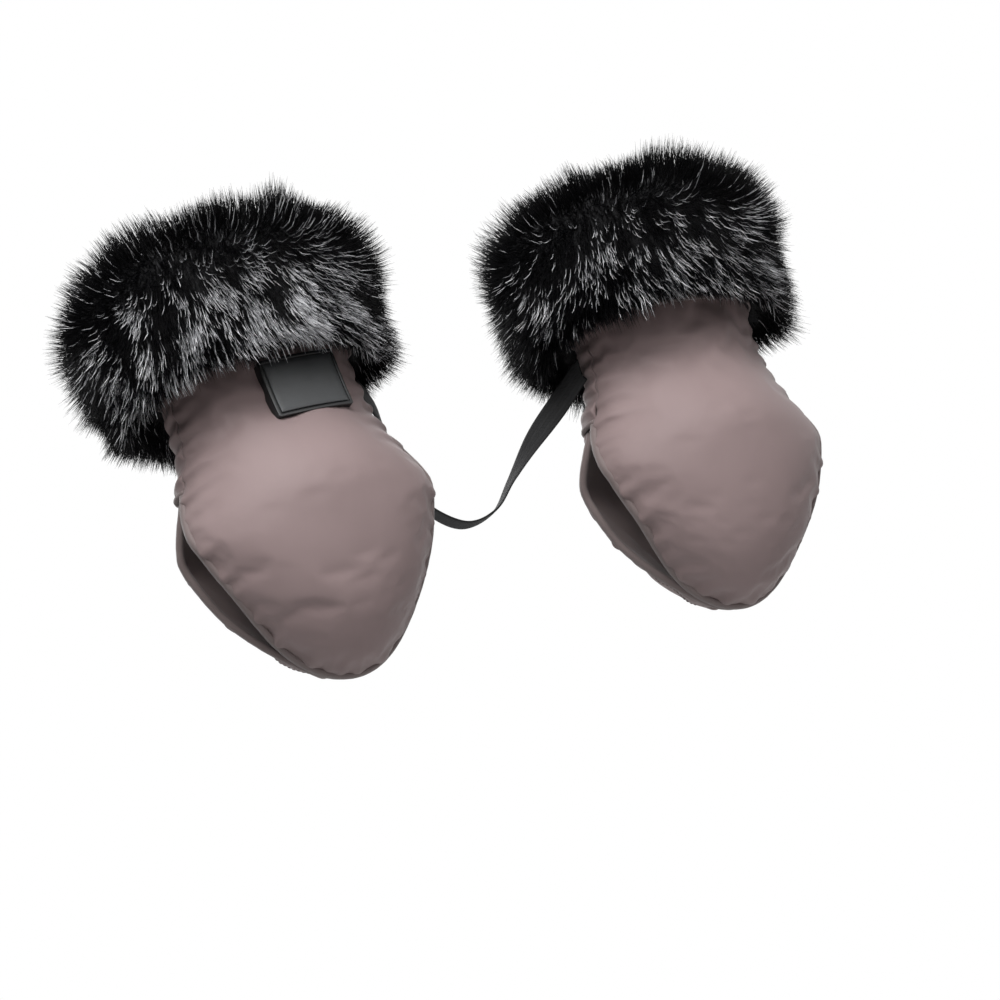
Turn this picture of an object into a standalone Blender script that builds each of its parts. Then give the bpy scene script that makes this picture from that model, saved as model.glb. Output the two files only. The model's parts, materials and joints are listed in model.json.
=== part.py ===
"""A pair of padded hand muffs with fur cuffs, joined by a webbing strap.

Row frame: metres, +Z up to the cuffs, -Y is the side that lies over the backs of the hands.
Each muff has a tunnel along +X, open at both side slots. The origin is on the tunnels' shared
axis, half way between the two muffs. Each muff is built upright round its own tunnel's centre,
then tilted and moved to its side.
"""

from math import asin, cos, pi, radians, sin, sqrt

import bmesh
import bpy
from mathutils import Matrix, Vector
from mathutils.bvhtree import BVHTree

# Muff body, measured from the tunnel's axis
MUFF_SPACING = 0.254
MUFF_TILTS = {"left": radians(-6), "right": 0.0}
PALM_HALF_WIDTH = 0.078
PALM_HEIGHT = 0.025
WRIST_HALF_WIDTH = 0.060
WRIST_HEIGHT = 0.092
MUFF_DROP = 0.0712
BODY_TOP = 0.124
SIDE_CORNER_DROP = 0.040
WRIST_DEPTH = 0.040
PALM_DEPTH_FRONT = 0.064
PALM_DEPTH_BACK = 0.052
BOTTOM_POWER = 1.15
BOTTOM_FULL_SHARE = 0.6

# Side slots at the tunnel's ends, and the closure under it
SLOT_TOP = 0.058
SLOT_TAPER_HEIGHT = 0.014
BAR_GAP_HALF = 0.025
CLOSED_HEIGHT = -0.062
BAR_LEVEL_LOW = -0.005
BOTTOM_EDGE_OFFSET = 0.006
SEAM_SETBACK = 0.010
FLAP_CORNER_OFFSET = 0.005
FLAP_INSET = 0.002
HINGE_GAP = 0.0006

# Cloth layers
SHELL_THICKNESS = 0.0010
LINING_THICKNESS = 0.0014
LOFT_MID = 0.0070
LOFT_EDGE = 0.0016
LAYER_GAP = 0.0004
SEAM_GAP = 0.0004
BINDING_RADIUS = 0.0022
BINDING_SEAT_GAP = 0.0006
FIT_GAP = 0.0003

# Fur cuff: ring section in distances out from the wrist's surface and heights
CUFF_TOP = 0.205
CUFF_BOTTOM = 0.114
CUFF_OUT = 0.036
CUFF_IN = 0.014
CUFF_ROLL_SHARES = ((0.62, 0.02), (0.90, 0.20), (1.00, 0.45), (0.95, 0.72), (0.62, 0.94), (0.22, 1.00))
CUFF_LIP_SHARES = ((0.75, 0.95), (1.00, 0.80))
SKIRT_SHARE = 0.06
CUFF_BACK_DROOP = 0.020
CUFF_SIDE_LEAN = 0.010
CUFF_LEAN_START = 0.25
TAPE_THICKNESS = 0.0012
TAPE_SEAT_GAP = 0.0009
TAPE_HEIGHT = 0.008
SLEEVE_THICKNESS = 0.0014
SLEEVE_TOP_DROP = 0.010

# Placket and press studs inside the bottom closure
PLACKET_THICKNESS = 0.0012
PLACKET_OFFSET = 0.0027
PLACKET_SLOPE_SHARE = 0.8
PLACKET_TOP = -0.034
STUD_RIM_GAP = 0.0008
STUD_CAP_RADIUS = 0.0052
STUD_CAP_THICKNESS = 0.0010
STUD_BASE_RADIUS = 0.0042
STUD_BASE_THICKNESS = 0.0008
STUD_BOSS_RADIUS = 0.0016
STUD_BOSS_HEIGHT = 0.0017
STUD_SHANK_RADIUS = 0.0015
SOCKET_CLEARANCE = 0.0008
SOCKET_FLOOR = 0.0004

# Rubber label on the left muff
LABEL_WIDTH = 0.046
LABEL_HEIGHT = 0.036
LABEL_THICKNESS = 0.0020
LABEL_BORDER = 0.0026
LABEL_PLATE_THICKNESS = 0.0012
LABEL_X = 0.0165
LABEL_Z = 0.0945
LABEL_REACH = 0.05
LABEL_SEAT_GAP = 0.0006

# Webbing strap between the muffs: its centre line from the left muff's seam to the right one's
STRAP_WIDTH = 0.015
STRAP_THICKNESS = 0.0014
STRAP_SEAT_GAP = 0.0008
STRAP_END_HEIGHT = 0.094
STRAP_TURN_SHARES = (0.15, 0.85)
STRAP_ROUTE = (
    (-0.063, 0.0165, 0.087),
    (-0.055, 0.031, 0.063),
    (-0.041, 0.039, 0.036),
    (-0.018, 0.042, 0.020),
    (0.004, 0.041, 0.025),
    (0.019, 0.038, 0.042),
    (0.037, 0.031, 0.063),
    (0.054, 0.017, 0.080),
)

# Facets
FRONT_CELLS = (12, 10)
FLAP_CELLS = (12, 6)
BACK_CELLS = (10, 3)
RING_CELLS = 24
STRAP_CELLS = 28
LABEL_CELLS = 8
PLACKET_COLUMNS = 3
STUD_COLUMNS = 2
STUD_STEPS = 8
CRISP_ANGLE = radians(40)

EDGE_THICKNESS = SHELL_THICKNESS + LOFT_EDGE + LINING_THICKNESS + 2 * LAYER_GAP
SEAM_ANGLE = asin(SEAM_SETBACK / WRIST_DEPTH)
SIDES = {"left": -1, "right": 1}


def material(name, colour, roughness, metallic=0.0):
    """A plain Principled finish."""
    made = bpy.data.materials.new(name)
    made.use_nodes = True
    shader = made.node_tree.nodes["Principled BSDF"]
    shader.inputs["Base Color"].default_value = (*colour, 1.0)
    shader.inputs["Roughness"].default_value = roughness
    shader.inputs["Metallic"].default_value = metallic
    return made


def eased(value, low, high):
    """0 at low, 1 at high, with level ends."""
    share = min(1.0, max(0.0, (value - low) / (high - low)))
    return share * share * (3 - 2 * share)


def mixed(a, b, share):
    """a at 0, b at 1."""
    return a + (b - a) * share


def half_width(z):
    """Half of the muff's width at a height."""
    if z >= PALM_HEIGHT:
        return mixed(PALM_HALF_WIDTH, WRIST_HALF_WIDTH, eased(z, PALM_HEIGHT, WRIST_HEIGHT))
    fall = (PALM_HEIGHT - z) / (PALM_HEIGHT + MUFF_DROP)
    return PALM_HALF_WIDTH * sqrt(max(0.0, 1 - fall**BOTTOM_POWER))


def bottom_height(x):
    """Height of the rounded bottom edge at a distance from the middle."""
    reach = 1 - (x / PALM_HALF_WIDTH) ** 2
    return PALM_HEIGHT - (PALM_HEIGHT + MUFF_DROP) * reach ** (1 / BOTTOM_POWER)


def edge_depth(z, top_offset):
    """Distance of a panel's free edge from the muff's mid plane, wide at the tunnel."""
    if z < SLOT_TAPER_HEIGHT:
        return mixed(BOTTOM_EDGE_OFFSET, BAR_GAP_HALF, eased(z, CLOSED_HEIGHT, BAR_LEVEL_LOW))
    return mixed(BAR_GAP_HALF, top_offset, eased(z, SLOT_TAPER_HEIGHT, SLOT_TOP))


def arc_point(across, start_angle):
    """Place on a half oval for a step across from -1 to 1: share of the width, share of the rise."""
    angle = mixed(pi - start_angle, start_angle, (across + 1) / 2)
    return cos(angle) / cos(start_angle), (sin(angle) - sin(start_angle)) / (1 - sin(start_angle))


def bag_point(across, up, depth, panel):
    """A point of a front or flap panel. depth is the distance in from the outer surface."""
    sign, top, top_offset, full_depth, inset = panel
    share, rise = arc_point(across, SEAM_ANGLE)
    corner = -SIDE_CORNER_DROP
    side_z = mixed(corner, top, up)
    side_x = half_width(side_z) * cos(SEAM_ANGLE) - inset
    corner_x = half_width(corner) * cos(SEAM_ANGLE) - inset
    low_z = bottom_height(share * corner_x) + inset
    x = share * (side_x - depth)
    z = side_z + (1 - up) * (low_z - corner + depth)
    edge = edge_depth(side_z, top_offset)
    edge += (1 - up) * (edge_depth(low_z, top_offset) - edge_depth(corner, top_offset))
    filled = sqrt(1 - (1 - min(1.0, up / BOTTOM_FULL_SHARE)) ** 2)
    crown = mixed(full_depth, WRIST_DEPTH, eased(z, PALM_HEIGHT, WRIST_HEIGHT)) - edge
    return Vector((x, sign * (edge + max(0.0, crown - depth) * filled * rise), z))


FRONT = (-1, BODY_TOP, SEAM_SETBACK, PALM_DEPTH_FRONT, 0.0)
FLAP = (1, SLOT_TOP - HINGE_GAP, FLAP_CORNER_OFFSET, PALM_DEPTH_BACK, FLAP_INSET)


def front_point(across, up, depth):
    return bag_point(across, up ** (1 + BOTTOM_FULL_SHARE / 2), depth, FRONT)


def flap_point(across, up, depth):
    return bag_point(across, up ** (1 + BOTTOM_FULL_SHARE / 2), depth, FLAP)


def back_point(across, up, depth):
    """A point of the wrist's back, which wraps round both sides to the front panel's seams."""
    z = mixed(SLOT_TOP, BODY_TOP, up)
    angle = mixed(pi + SEAM_ANGLE, -SEAM_ANGLE, (across + 1) / 2)
    bulge = mixed(PALM_DEPTH_BACK, WRIST_DEPTH, eased(z, PALM_HEIGHT, WRIST_HEIGHT))
    reach = (WRIST_DEPTH if sin(angle) < 0 else bulge) - depth
    width = half_width(z) - depth
    seam_shift = depth * sin(SEAM_ANGLE) + SEAM_GAP
    y = reach * sin(angle) + (seam_shift - depth * sin(SEAM_ANGLE) * 2 if sin(angle) < 0 else 0.0)
    return Vector((width * cos(angle), y, z))


def loft(across, up, thin_top):
    """Thickness of the wadding: full in the middle, thin at the sewn edges."""
    inner = (1 - across**4) * min(1.0, up / (1 - BOTTOM_FULL_SHARE))
    if thin_top:
        inner *= min(1.0, (1 - up) / (1 - BOTTOM_FULL_SHARE))
    return mixed(LOFT_EDGE, LOFT_MID, max(0.0, inner))


def new_object(name, mesh, finish, parent):
    """A mesh as a named piece in its muff's or flap's own frame."""
    made = bpy.data.objects.new(name, mesh)
    mesh.materials.clear()
    mesh.materials.append(finish)
    muffs.objects.link(made)
    made.parent = parent
    return made


def mesh_from(bm, name):
    """A closed mesh, its faces pointing out and its crisp edges kept."""
    bmesh.ops.recalc_face_normals(bm, faces=bm.faces)
    if bm.calc_volume(signed=True) < 0:
        bmesh.ops.reverse_faces(bm, faces=bm.faces)
    mesh = bpy.data.meshes.new(name)
    bm.to_mesh(mesh)
    bm.free()
    mesh.shade_smooth()
    mesh.set_sharp_from_angle(angle=CRISP_ANGLE)
    return mesh


def layer_mesh(name, place, near, far, cells):
    """A closed sheet between two depths of a panel: two mapped grids joined round their borders."""
    bm = bmesh.new()
    for depth_at in (near, far):
        grid = bmesh.ops.create_grid(bm, x_segments=cells[0], y_segments=cells[1], size=1)
        for vert in grid["verts"]:
            across, up = vert.co.x, (vert.co.y + 1) / 2
            vert.co = place(across, up, depth_at(across, up))
    border = [edge for edge in bm.edges if edge.is_boundary]
    bmesh.ops.bridge_loops(bm, edges=border)
    return mesh_from(bm, name)


def padded_panel(prefix, place, cells, finishes, parent, thin_ends):
    """Outer shell, wadding and lining of one panel, nested with a small gap between them."""
    loft_in = SHELL_THICKNESS + LAYER_GAP

    def wadding_inner(across, up):
        up_from_edge = up if thin_ends != "none" else 1.0
        return loft_in + loft(across, up_from_edge, thin_ends == "both")

    layers = {
        "shell": (lambda a, u: 0.0, lambda a, u: SHELL_THICKNESS),
        "wadding": (lambda a, u: loft_in, wadding_inner),
        "lining": (
            lambda a, u: wadding_inner(a, u) + LAYER_GAP,
            lambda a, u: wadding_inner(a, u) + LAYER_GAP + LINING_THICKNESS,
        ),
    }
    made = {}
    for layer, (near, far) in layers.items():
        name = f"{prefix}_{layer}"
        made[layer] = new_object(name, layer_mesh(name, place, near, far, cells), finishes[layer], parent)
    return made


def ring_mesh(name, section):
    """A closed ring round the wrist. section holds (distance out from it, height, share of the droop)."""
    count = len(section)
    bpy.ops.mesh.primitive_torus_add(major_segments=RING_CELLS, minor_segments=count)
    torus = bpy.context.object
    bm = bmesh.new()
    bm.from_mesh(torus.data)
    bm.verts.ensure_lookup_table()
    for vert in bm.verts:
        turn, step = divmod(vert.index, count)
        angle = 2 * pi * turn / RING_CELLS
        out, z, hang = section[step]
        z -= hang * CUFF_BACK_DROOP * (1 + sin(angle)) / 2
        lean = CUFF_SIDE_LEAN * max(0.0, out / CUFF_OUT - CUFF_LEAN_START)
        surface = Vector((WRIST_HALF_WIDTH * cos(angle) - lean, WRIST_DEPTH * sin(angle), z))
        normal = Vector((cos(angle) / WRIST_HALF_WIDTH, sin(angle) / WRIST_DEPTH, 0.0)).normalized()
        vert.co = surface + normal * out
    spare = torus.data
    bpy.data.objects.remove(torus)
    bpy.data.meshes.remove(spare)
    return mesh_from(bm, name)


def tube(name, points, radius, finish, parent):
    """A round piping along points."""
    data = bpy.data.curves.new(name, "CURVE")
    data.dimensions = "3D"
    data.bevel_depth = radius
    data.bevel_resolution = 1
    data.use_fill_caps = True
    spline = data.splines.new("POLY")
    spline.points.add(len(points) - 1)
    for point, place in zip(spline.points, points):
        point.co = (*place, 1.0)
    made = bpy.data.objects.new(name, data)
    data.materials.append(finish)
    muffs.objects.link(made)
    made.parent = parent
    return made


def binding_points(place, cells, sign):
    """Centre line of the binding: down one free edge, round the bottom and up the other."""
    columns, rows = cells
    depth = EDGE_THICKNESS / 2
    top = SLOT_TOP - BINDING_RADIUS
    side = [place(1.0, 1 - step / rows, depth) for step in range(rows)]
    below = next(index for index, point in enumerate(side) if point.z < top)
    above = side[below - 1]
    share = (above.z - top) / (above.z - side[below].z)
    half = [above.lerp(side[below], share)] + side[below:]
    half += [place(1 - 2 * step / columns, 0.0, depth) for step in range(columns // 2 + 1)]
    whole = half + [Vector((-p.x, p.y, p.z)) for p in reversed(half[:-1])]
    seat = Vector((0.0, sign * (BINDING_RADIUS + BINDING_SEAT_GAP), 0.0))
    return [point - seat for point in whole]


def poly_spline(data, points):
    """One closed outline of a flat curve."""
    spline = data.splines.new("POLY")
    spline.points.add(len(points) - 1)
    for point, (x, z) in zip(spline.points, points):
        point.co = (x, z, 0.0, 1.0)
    spline.use_cyclic_u = True


def rim_depth():
    """How far inside a panel's outline its placket starts, clear of the binding on a slope."""
    return EDGE_THICKNESS / 2 + (BINDING_RADIUS + FIT_GAP) / PLACKET_SLOPE_SHARE


def stud_places():
    """(x, z) of the three press studs, following the flap's rounded bottom."""
    depth = rim_depth() + STUD_CAP_RADIUS + STUD_RIM_GAP
    columns = (-STUD_COLUMNS, 0, STUD_COLUMNS)
    seats = [flap_point(2 * column / FLAP_CELLS[0], 0.0, depth) for column in columns]
    return [(seat.x, seat.z) for seat in seats]


def placket(name, place, cells, sign, finish, parent, shift):
    """A flat crescent of facing behind the bottom edge, holed for the press studs."""
    data = bpy.data.curves.new(name, "CURVE")
    data.dimensions = "2D"
    data.fill_mode = "BOTH"
    data.extrude = PLACKET_THICKNESS / 2
    columns = range(-PLACKET_COLUMNS, PLACKET_COLUMNS + 1)
    rim = [place(2 * column / cells[0], 0.0, rim_depth()) for column in columns]
    outline = [(point.x, point.z) for point in rim]
    width = outline[-1][0]
    poly_spline(data, outline + [(width, PLACKET_TOP), (-width, PLACKET_TOP)])
    hole = STUD_SHANK_RADIUS + FIT_GAP
    for x, z in stud_places():
        turns = [2 * pi * step / STUD_STEPS for step in range(STUD_STEPS)]
        poly_spline(data, [(x + hole * cos(a), z + hole * sin(a)) for a in turns])
    made = bpy.data.objects.new(name, data)
    data.materials.append(finish)
    muffs.objects.link(made)
    made.parent = parent
    made.rotation_euler = (pi / 2, 0.0, 0.0)
    made.location = Vector((0.0, sign * PLACKET_OFFSET, 0.0)) - shift
    return made


def turned(name, profile, finish, parent, place, facing):
    """A round piece from a profile of (radius, height), its axis turned to face along Y."""
    mesh = bpy.data.meshes.new(name)
    points = [(radius, 0.0, height) for radius, height in profile]
    mesh.from_pydata(points, [(i, i + 1) for i in range(len(points) - 1)], [])
    made = new_object(name, mesh, finish, parent)
    made.location = place
    made.rotation_euler = (-facing * pi / 2, 0.0, 0.0)
    screw = made.modifiers.new("turn", "SCREW")
    screw.axis = "Z"
    screw.steps = STUD_STEPS
    screw.render_steps = STUD_STEPS
    screw.use_merge_vertices = True
    screw.merge_threshold = HINGE_GAP / 100
    return made


def stud_profile():
    """Cap behind the placket, shank through it, base and boss in front, from the placket's mid plane."""
    half = PLACKET_THICKNESS / 2 + FIT_GAP
    base_top = half + STUD_BASE_THICKNESS
    return [
        (0.0, base_top + STUD_BOSS_HEIGHT),
        (STUD_BOSS_RADIUS, base_top + STUD_BOSS_HEIGHT),
        (STUD_BOSS_RADIUS, base_top),
        (STUD_BASE_RADIUS, base_top),
        (STUD_BASE_RADIUS, half),
        (STUD_SHANK_RADIUS, half),
        (STUD_SHANK_RADIUS, -half),
        (STUD_CAP_RADIUS, -half),
        (STUD_CAP_RADIUS, -half - STUD_CAP_THICKNESS),
        (0.0, -half - STUD_CAP_THICKNESS),
    ]


def socket_profile():
    """The stud's mate: its recess takes the boss, with room for the swing of the flap."""
    half = PLACKET_THICKNESS / 2 + FIT_GAP
    base_top = half + STUD_BASE_THICKNESS
    rim_top = 2 * PLACKET_OFFSET - base_top - FIT_GAP
    recess = STUD_BOSS_RADIUS + SOCKET_CLEARANCE
    floor = 2 * PLACKET_OFFSET - base_top - STUD_BOSS_HEIGHT - SOCKET_FLOOR
    return [
        (0.0, floor),
        (recess, floor),
        (recess, rim_top),
        (STUD_BASE_RADIUS, rim_top),
        (STUD_BASE_RADIUS, half),
        (STUD_SHANK_RADIUS, half),
        (STUD_SHANK_RADIUS, -half),
        (STUD_CAP_RADIUS, -half),
        (STUD_CAP_RADIUS, -half - STUD_CAP_THICKNESS),
        (0.0, -half - STUD_CAP_THICKNESS),
    ]


def cuff_section():
    """The fur ring's section: a fat roll that hangs down outside the wrist, lowest at the back."""
    skirt = TAPE_SEAT_GAP + TAPE_THICKNESS + FIT_GAP
    foot_height = BODY_TOP + 2 * FIT_GAP
    height = CUFF_TOP - CUFF_BOTTOM
    roll = [(CUFF_OUT * out, CUFF_BOTTOM + height * up, 1) for out, up in CUFF_ROLL_SHARES]
    lip = [(-CUFF_IN * in_, CUFF_BOTTOM + height * up, 1) for in_, up in CUFF_LIP_SHARES]
    foot = [(-CUFF_IN, foot_height, 0), (skirt, foot_height, 0)]
    return roll + lip + foot + [(skirt, CUFF_BOTTOM + height * SKIRT_SHARE, 1)]


def sleeve_section():
    """The lining's tube inside the fur ring."""
    outer = -CUFF_IN - FIT_GAP
    inner = outer - SLEEVE_THICKNESS
    low, high = BODY_TOP + FIT_GAP, CUFF_TOP - SLEEVE_TOP_DROP
    return [(outer, low, 0), (outer, high, 1), (inner, high, 1), (inner, low, 0)]


def tape_section():
    """The tape over the seam where the fur meets the shells."""
    near, far = TAPE_SEAT_GAP, TAPE_SEAT_GAP + TAPE_THICKNESS
    low, high = BODY_TOP - TAPE_HEIGHT, BODY_TOP
    return [(near, low, 0), (far, low, 0), (far, high, 0), (near, high, 0)]


def build_muff(side, sign, finishes):
    """Everything of one muff but its label and strap. Returns its shells and its own frame."""
    frame = bpy.data.objects.new(f"{side}_muff_frame", None)
    muffs.objects.link(frame)
    frame.location = (sign * MUFF_SPACING / 2, 0.0, 0.0)
    frame.rotation_euler = (0.0, MUFF_TILTS[side], 0.0)

    hinge = Vector((0.0, flap_point(0.0, 1.0, 0.0).y, SLOT_TOP))
    flap_frame = bpy.data.objects.new(f"{side}_flap_frame", None)
    muffs.objects.link(flap_frame)
    flap_frame.parent = frame
    flap_frame.location = hinge

    def flap_place(across, up, depth):
        return flap_point(across, up, depth) - hinge

    front = padded_panel(f"{side}_front", front_point, FRONT_CELLS, finishes, frame, "bottom")
    padded_panel(f"{side}_back", back_point, BACK_CELLS, finishes, frame, "none")
    padded_panel(f"{side}_flap", flap_place, FLAP_CELLS, finishes, flap_frame, "both")

    edges = (
        ("front", front_point, FRONT_CELLS, -1, frame, Vector((0.0, 0.0, 0.0))),
        ("flap", flap_point, FLAP_CELLS, 1, flap_frame, hinge),
    )
    for panel, place, cells, face, parent, shift in edges:
        route = [point - shift for point in binding_points(place, cells, face)]
        tube(f"{side}_{panel}_binding", route, BINDING_RADIUS, finishes["binding"], parent)
        placket(f"{side}_{panel}_placket", place, cells, face, finishes["binding"], parent, shift)

    for number, (x, z) in enumerate(stud_places(), start=1):
        stud_at = Vector((x, -PLACKET_OFFSET, z))
        socket_at = Vector((x, PLACKET_OFFSET, z)) - hinge
        turned(f"{side}_stud_{number}", stud_profile(), finishes["metal"], frame, stud_at, 1)
        turned(f"{side}_socket_{number}", socket_profile(), finishes["metal"], flap_frame, socket_at, -1)

    cuff = {
        "fur_cuff": (cuff_section(), "fur"),
        "cuff_sleeve": (sleeve_section(), "lining"),
        "cuff_tape": (tape_section(), "binding"),
    }
    for piece, (section, finish) in cuff.items():
        name = f"{side}_{piece}"
        new_object(name, ring_mesh(name, section), finishes[finish], frame)
    return front["shell"], frame


def build_label(shell, frame, finishes):
    """A flat-faced rubber label whose back follows the shell, with a raised plate."""
    surface = BVHTree.FromPolygons(
        [v.co.copy() for v in shell.data.vertices], [tuple(p.vertices) for p in shell.data.polygons]
    )
    towards = Vector((0.0, 1.0, 0.0))
    seat, normal, _, _ = surface.ray_cast(Vector((LABEL_X, -LABEL_REACH * 2, LABEL_Z)), towards)
    up = (Vector((0.0, 0.0, 1.0)) - normal * normal.z).normalized()
    axes = Matrix((up.cross(normal), up, normal)).transposed()

    bm = bmesh.new()
    face_lift = LABEL_THICKNESS + FIT_GAP
    for flat in (True, False):
        grid = bmesh.ops.create_grid(bm, x_segments=LABEL_CELLS, y_segments=LABEL_CELLS, size=1)
        for vert in grid["verts"]:
            across = Vector((vert.co.x * LABEL_WIDTH, vert.co.y * LABEL_HEIGHT, 0.0)) / 2
            place = seat + axes @ across
            distance = surface.ray_cast(place + normal * LABEL_REACH, -normal)[3]
            vert.co = place + normal * (face_lift if flat else LABEL_REACH - distance + LABEL_SEAT_GAP)
    bmesh.ops.bridge_loops(bm, edges=[edge for edge in bm.edges if edge.is_boundary])
    base_name = "label_base"
    new_object(base_name, mesh_from(bm, base_name), finishes["rubber"], frame)

    bm = bmesh.new()
    bmesh.ops.create_cube(bm, size=1)
    for vert in bm.verts:
        size = Vector((LABEL_WIDTH - 2 * LABEL_BORDER, LABEL_HEIGHT - 2 * LABEL_BORDER, LABEL_PLATE_THICKNESS))
        local = Vector(a * b for a, b in zip(vert.co, size))
        lift = LABEL_THICKNESS + 2 * FIT_GAP + LABEL_PLATE_THICKNESS / 2
        vert.co = seat + axes @ local + normal * lift
    plate_name = "label_plate"
    new_object(plate_name, mesh_from(bm, plate_name), finishes["rubber"], frame)


def spline_point(points, share):
    """A point of a smooth curve through points, for a share of the way along."""
    last = len(points) - 1
    index = min(int(share * last), last - 1)
    t = share * last - index
    a, b = points[index], points[index + 1]
    before = points[index - 1] if index else a * 2 - b
    after = points[index + 2] if index + 2 <= last else b * 2 - a
    into, out = a + (b - before) / 6, b - (after - a) / 6
    return a.lerp(into, t).lerp(into.lerp(out, t), t).lerp(into.lerp(out, t).lerp(out.lerp(b, t), t), t)


def build_strap(left_frame, right_frame, finish):
    """Flat webbing that leaves each seam upright and turns flat at the bottom of its sag."""
    seam_x = half_width(STRAP_END_HEIGHT) + STRAP_SEAT_GAP
    start = left_frame.matrix_world @ Vector((seam_x, 0.0, STRAP_END_HEIGHT))
    end = right_frame.matrix_world @ Vector((-seam_x, 0.0, STRAP_END_HEIGHT))
    uprights = [frame.matrix_world.to_3x3() @ Vector((0.0, 0.0, 1.0)) for frame in (left_frame, right_frame)]
    route = [start, *map(Vector, STRAP_ROUTE), end]
    bm = bmesh.new()
    bmesh.ops.create_grid(bm, x_segments=STRAP_CELLS, y_segments=1, size=1)
    for vert in bm.verts:
        share = (vert.co.x + 1) / 2
        centre = spline_point(route, share)
        turn = eased(abs(vert.co.x), *STRAP_TURN_SHARES)
        upright = uprights[0] if share < 1 / 2 else uprights[1]
        wide = Vector((0.0, 1 - turn, 0.0)) + upright * turn
        before, after = max(0.0, share - 1 / STRAP_CELLS), min(1.0, share + 1 / STRAP_CELLS)
        along = spline_point(route, after) - spline_point(route, before)
        if 0.0 < share < 1.0:
            wide -= along * (wide.dot(along) / along.length_squared)
        vert.co = centre + wide.normalized() * (vert.co.y * STRAP_WIDTH / 2)
    strap = new_object("link_strap", mesh_from(bm, "link_strap"), finish, None)
    thick = strap.modifiers.new("webbing", "SOLIDIFY")
    thick.thickness = STRAP_THICKNESS
    thick.offset = 0.0


for old in list(bpy.data.objects):
    bpy.data.objects.remove(old)
muffs = bpy.data.collections.new("stroller_hand_muffs")
bpy.context.scene.collection.children.link(muffs)

cloth_finishes = {
    "shell": material("taupe_shell", (0.26, 0.21, 0.205), 0.55),
    "wadding": material("white_wadding", (0.80, 0.80, 0.78), 0.95),
    "lining": material("taupe_lining", (0.16, 0.13, 0.125), 0.75),
    "binding": material("taupe_binding", (0.20, 0.16, 0.155), 0.6),
    "fur": material("black_fur", (0.03, 0.03, 0.035), 0.8),
    "metal": material("nickel_stud", (0.45, 0.44, 0.43), 0.35, 1.0),
    "rubber": material("grey_rubber", (0.045, 0.05, 0.055), 0.5),
    "webbing": material("black_webbing", (0.01, 0.01, 0.01), 0.8),
}
muff_frames = {}
for side_name, side_sign in SIDES.items():
    muff_frames[side_name] = build_muff(side_name, side_sign, cloth_finishes)
bpy.context.view_layer.update()
build_label(*muff_frames["left"], cloth_finishes)
build_strap(muff_frames["left"][1], muff_frames["right"][1], cloth_finishes["webbing"])
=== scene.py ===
"""A pair of padded hand muffs with long-pile fur cuffs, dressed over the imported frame."""

import json
from math import asin, cos, pi, radians, sin, sqrt

import bmesh
import bpy
import numpy as np
from mathutils import Matrix, Vector, noise
from mathutils.bvhtree import BVHTree


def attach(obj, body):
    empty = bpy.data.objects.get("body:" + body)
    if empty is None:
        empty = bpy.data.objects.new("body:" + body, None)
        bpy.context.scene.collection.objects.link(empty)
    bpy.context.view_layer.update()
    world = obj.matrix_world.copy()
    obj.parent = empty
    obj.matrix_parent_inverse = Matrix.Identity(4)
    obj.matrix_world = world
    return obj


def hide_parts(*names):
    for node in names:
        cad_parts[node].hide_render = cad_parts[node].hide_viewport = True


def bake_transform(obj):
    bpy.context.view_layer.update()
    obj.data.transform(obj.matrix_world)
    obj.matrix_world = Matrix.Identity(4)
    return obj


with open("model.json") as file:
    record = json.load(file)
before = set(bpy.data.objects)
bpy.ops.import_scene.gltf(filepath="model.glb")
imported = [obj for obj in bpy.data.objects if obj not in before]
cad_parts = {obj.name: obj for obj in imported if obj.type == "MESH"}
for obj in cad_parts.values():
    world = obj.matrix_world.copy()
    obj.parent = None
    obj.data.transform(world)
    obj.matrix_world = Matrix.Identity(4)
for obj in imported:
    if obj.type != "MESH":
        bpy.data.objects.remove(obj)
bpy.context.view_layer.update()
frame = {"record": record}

SIDES = {"left": -1, "right": 1}

# Sizes shared with the solids, in metres
MUFF_SPACING = 0.254
MUFF_TILTS = {"left": radians(-6), "right": 0.0}
PALM_HALF_WIDTH = 0.078
PALM_HEIGHT = 0.025
WRIST_HALF_WIDTH = 0.060
WRIST_HEIGHT = 0.092
MUFF_DROP = 0.0712
BODY_TOP = 0.124
SIDE_CORNER_DROP = 0.040
WRIST_DEPTH = 0.040
PALM_DEPTH_FRONT = 0.064
PALM_DEPTH_BACK = 0.052
BOTTOM_POWER = 1.15
BOTTOM_FULL_SHARE = 0.6
SLOT_TOP = 0.058
SLOT_TAPER_HEIGHT = 0.014
TUNNEL_GAP_HALF = 0.025
CLOSED_HEIGHT = -0.062
TUNNEL_LEVEL_LOW = -0.005
BOTTOM_EDGE_OFFSET = 0.006
SEAM_SETBACK = 0.010
FLAP_CORNER_OFFSET = 0.005
FLAP_INSET = 0.002
HINGE_GAP = 0.0006
CUFF_TOP = 0.205
CUFF_OUT = 0.036
CUFF_SIDE_LEAN = 0.010
CUFF_LEAN_START = 0.25
CUFF_IN = 0.014
CUFF_BACK_DROOP = 0.020
SHELL_THICKNESS = 0.0010
LINING_THICKNESS = 0.0014
LOFT_MID = 0.0070
LOFT_EDGE = 0.0016
LAYER_GAP = 0.0004
SEAM_GAP = 0.0004
BINDING_RADIUS = 0.0022
BINDING_SEAT_GAP = 0.0006
FIT_GAP = 0.0003
TAPE_THICKNESS = 0.0012
TAPE_SEAT_GAP = 0.0009
TAPE_HEIGHT = 0.008
SLEEVE_THICKNESS = 0.0014
SLEEVE_TOP_DROP = 0.010
PLACKET_THICKNESS = 0.0012
PLACKET_OFFSET = 0.0027
PLACKET_SLOPE_SHARE = 0.8
PLACKET_TOP = -0.034
STUD_RIM_GAP = 0.0008
STUD_CAP_RADIUS = 0.0052
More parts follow.
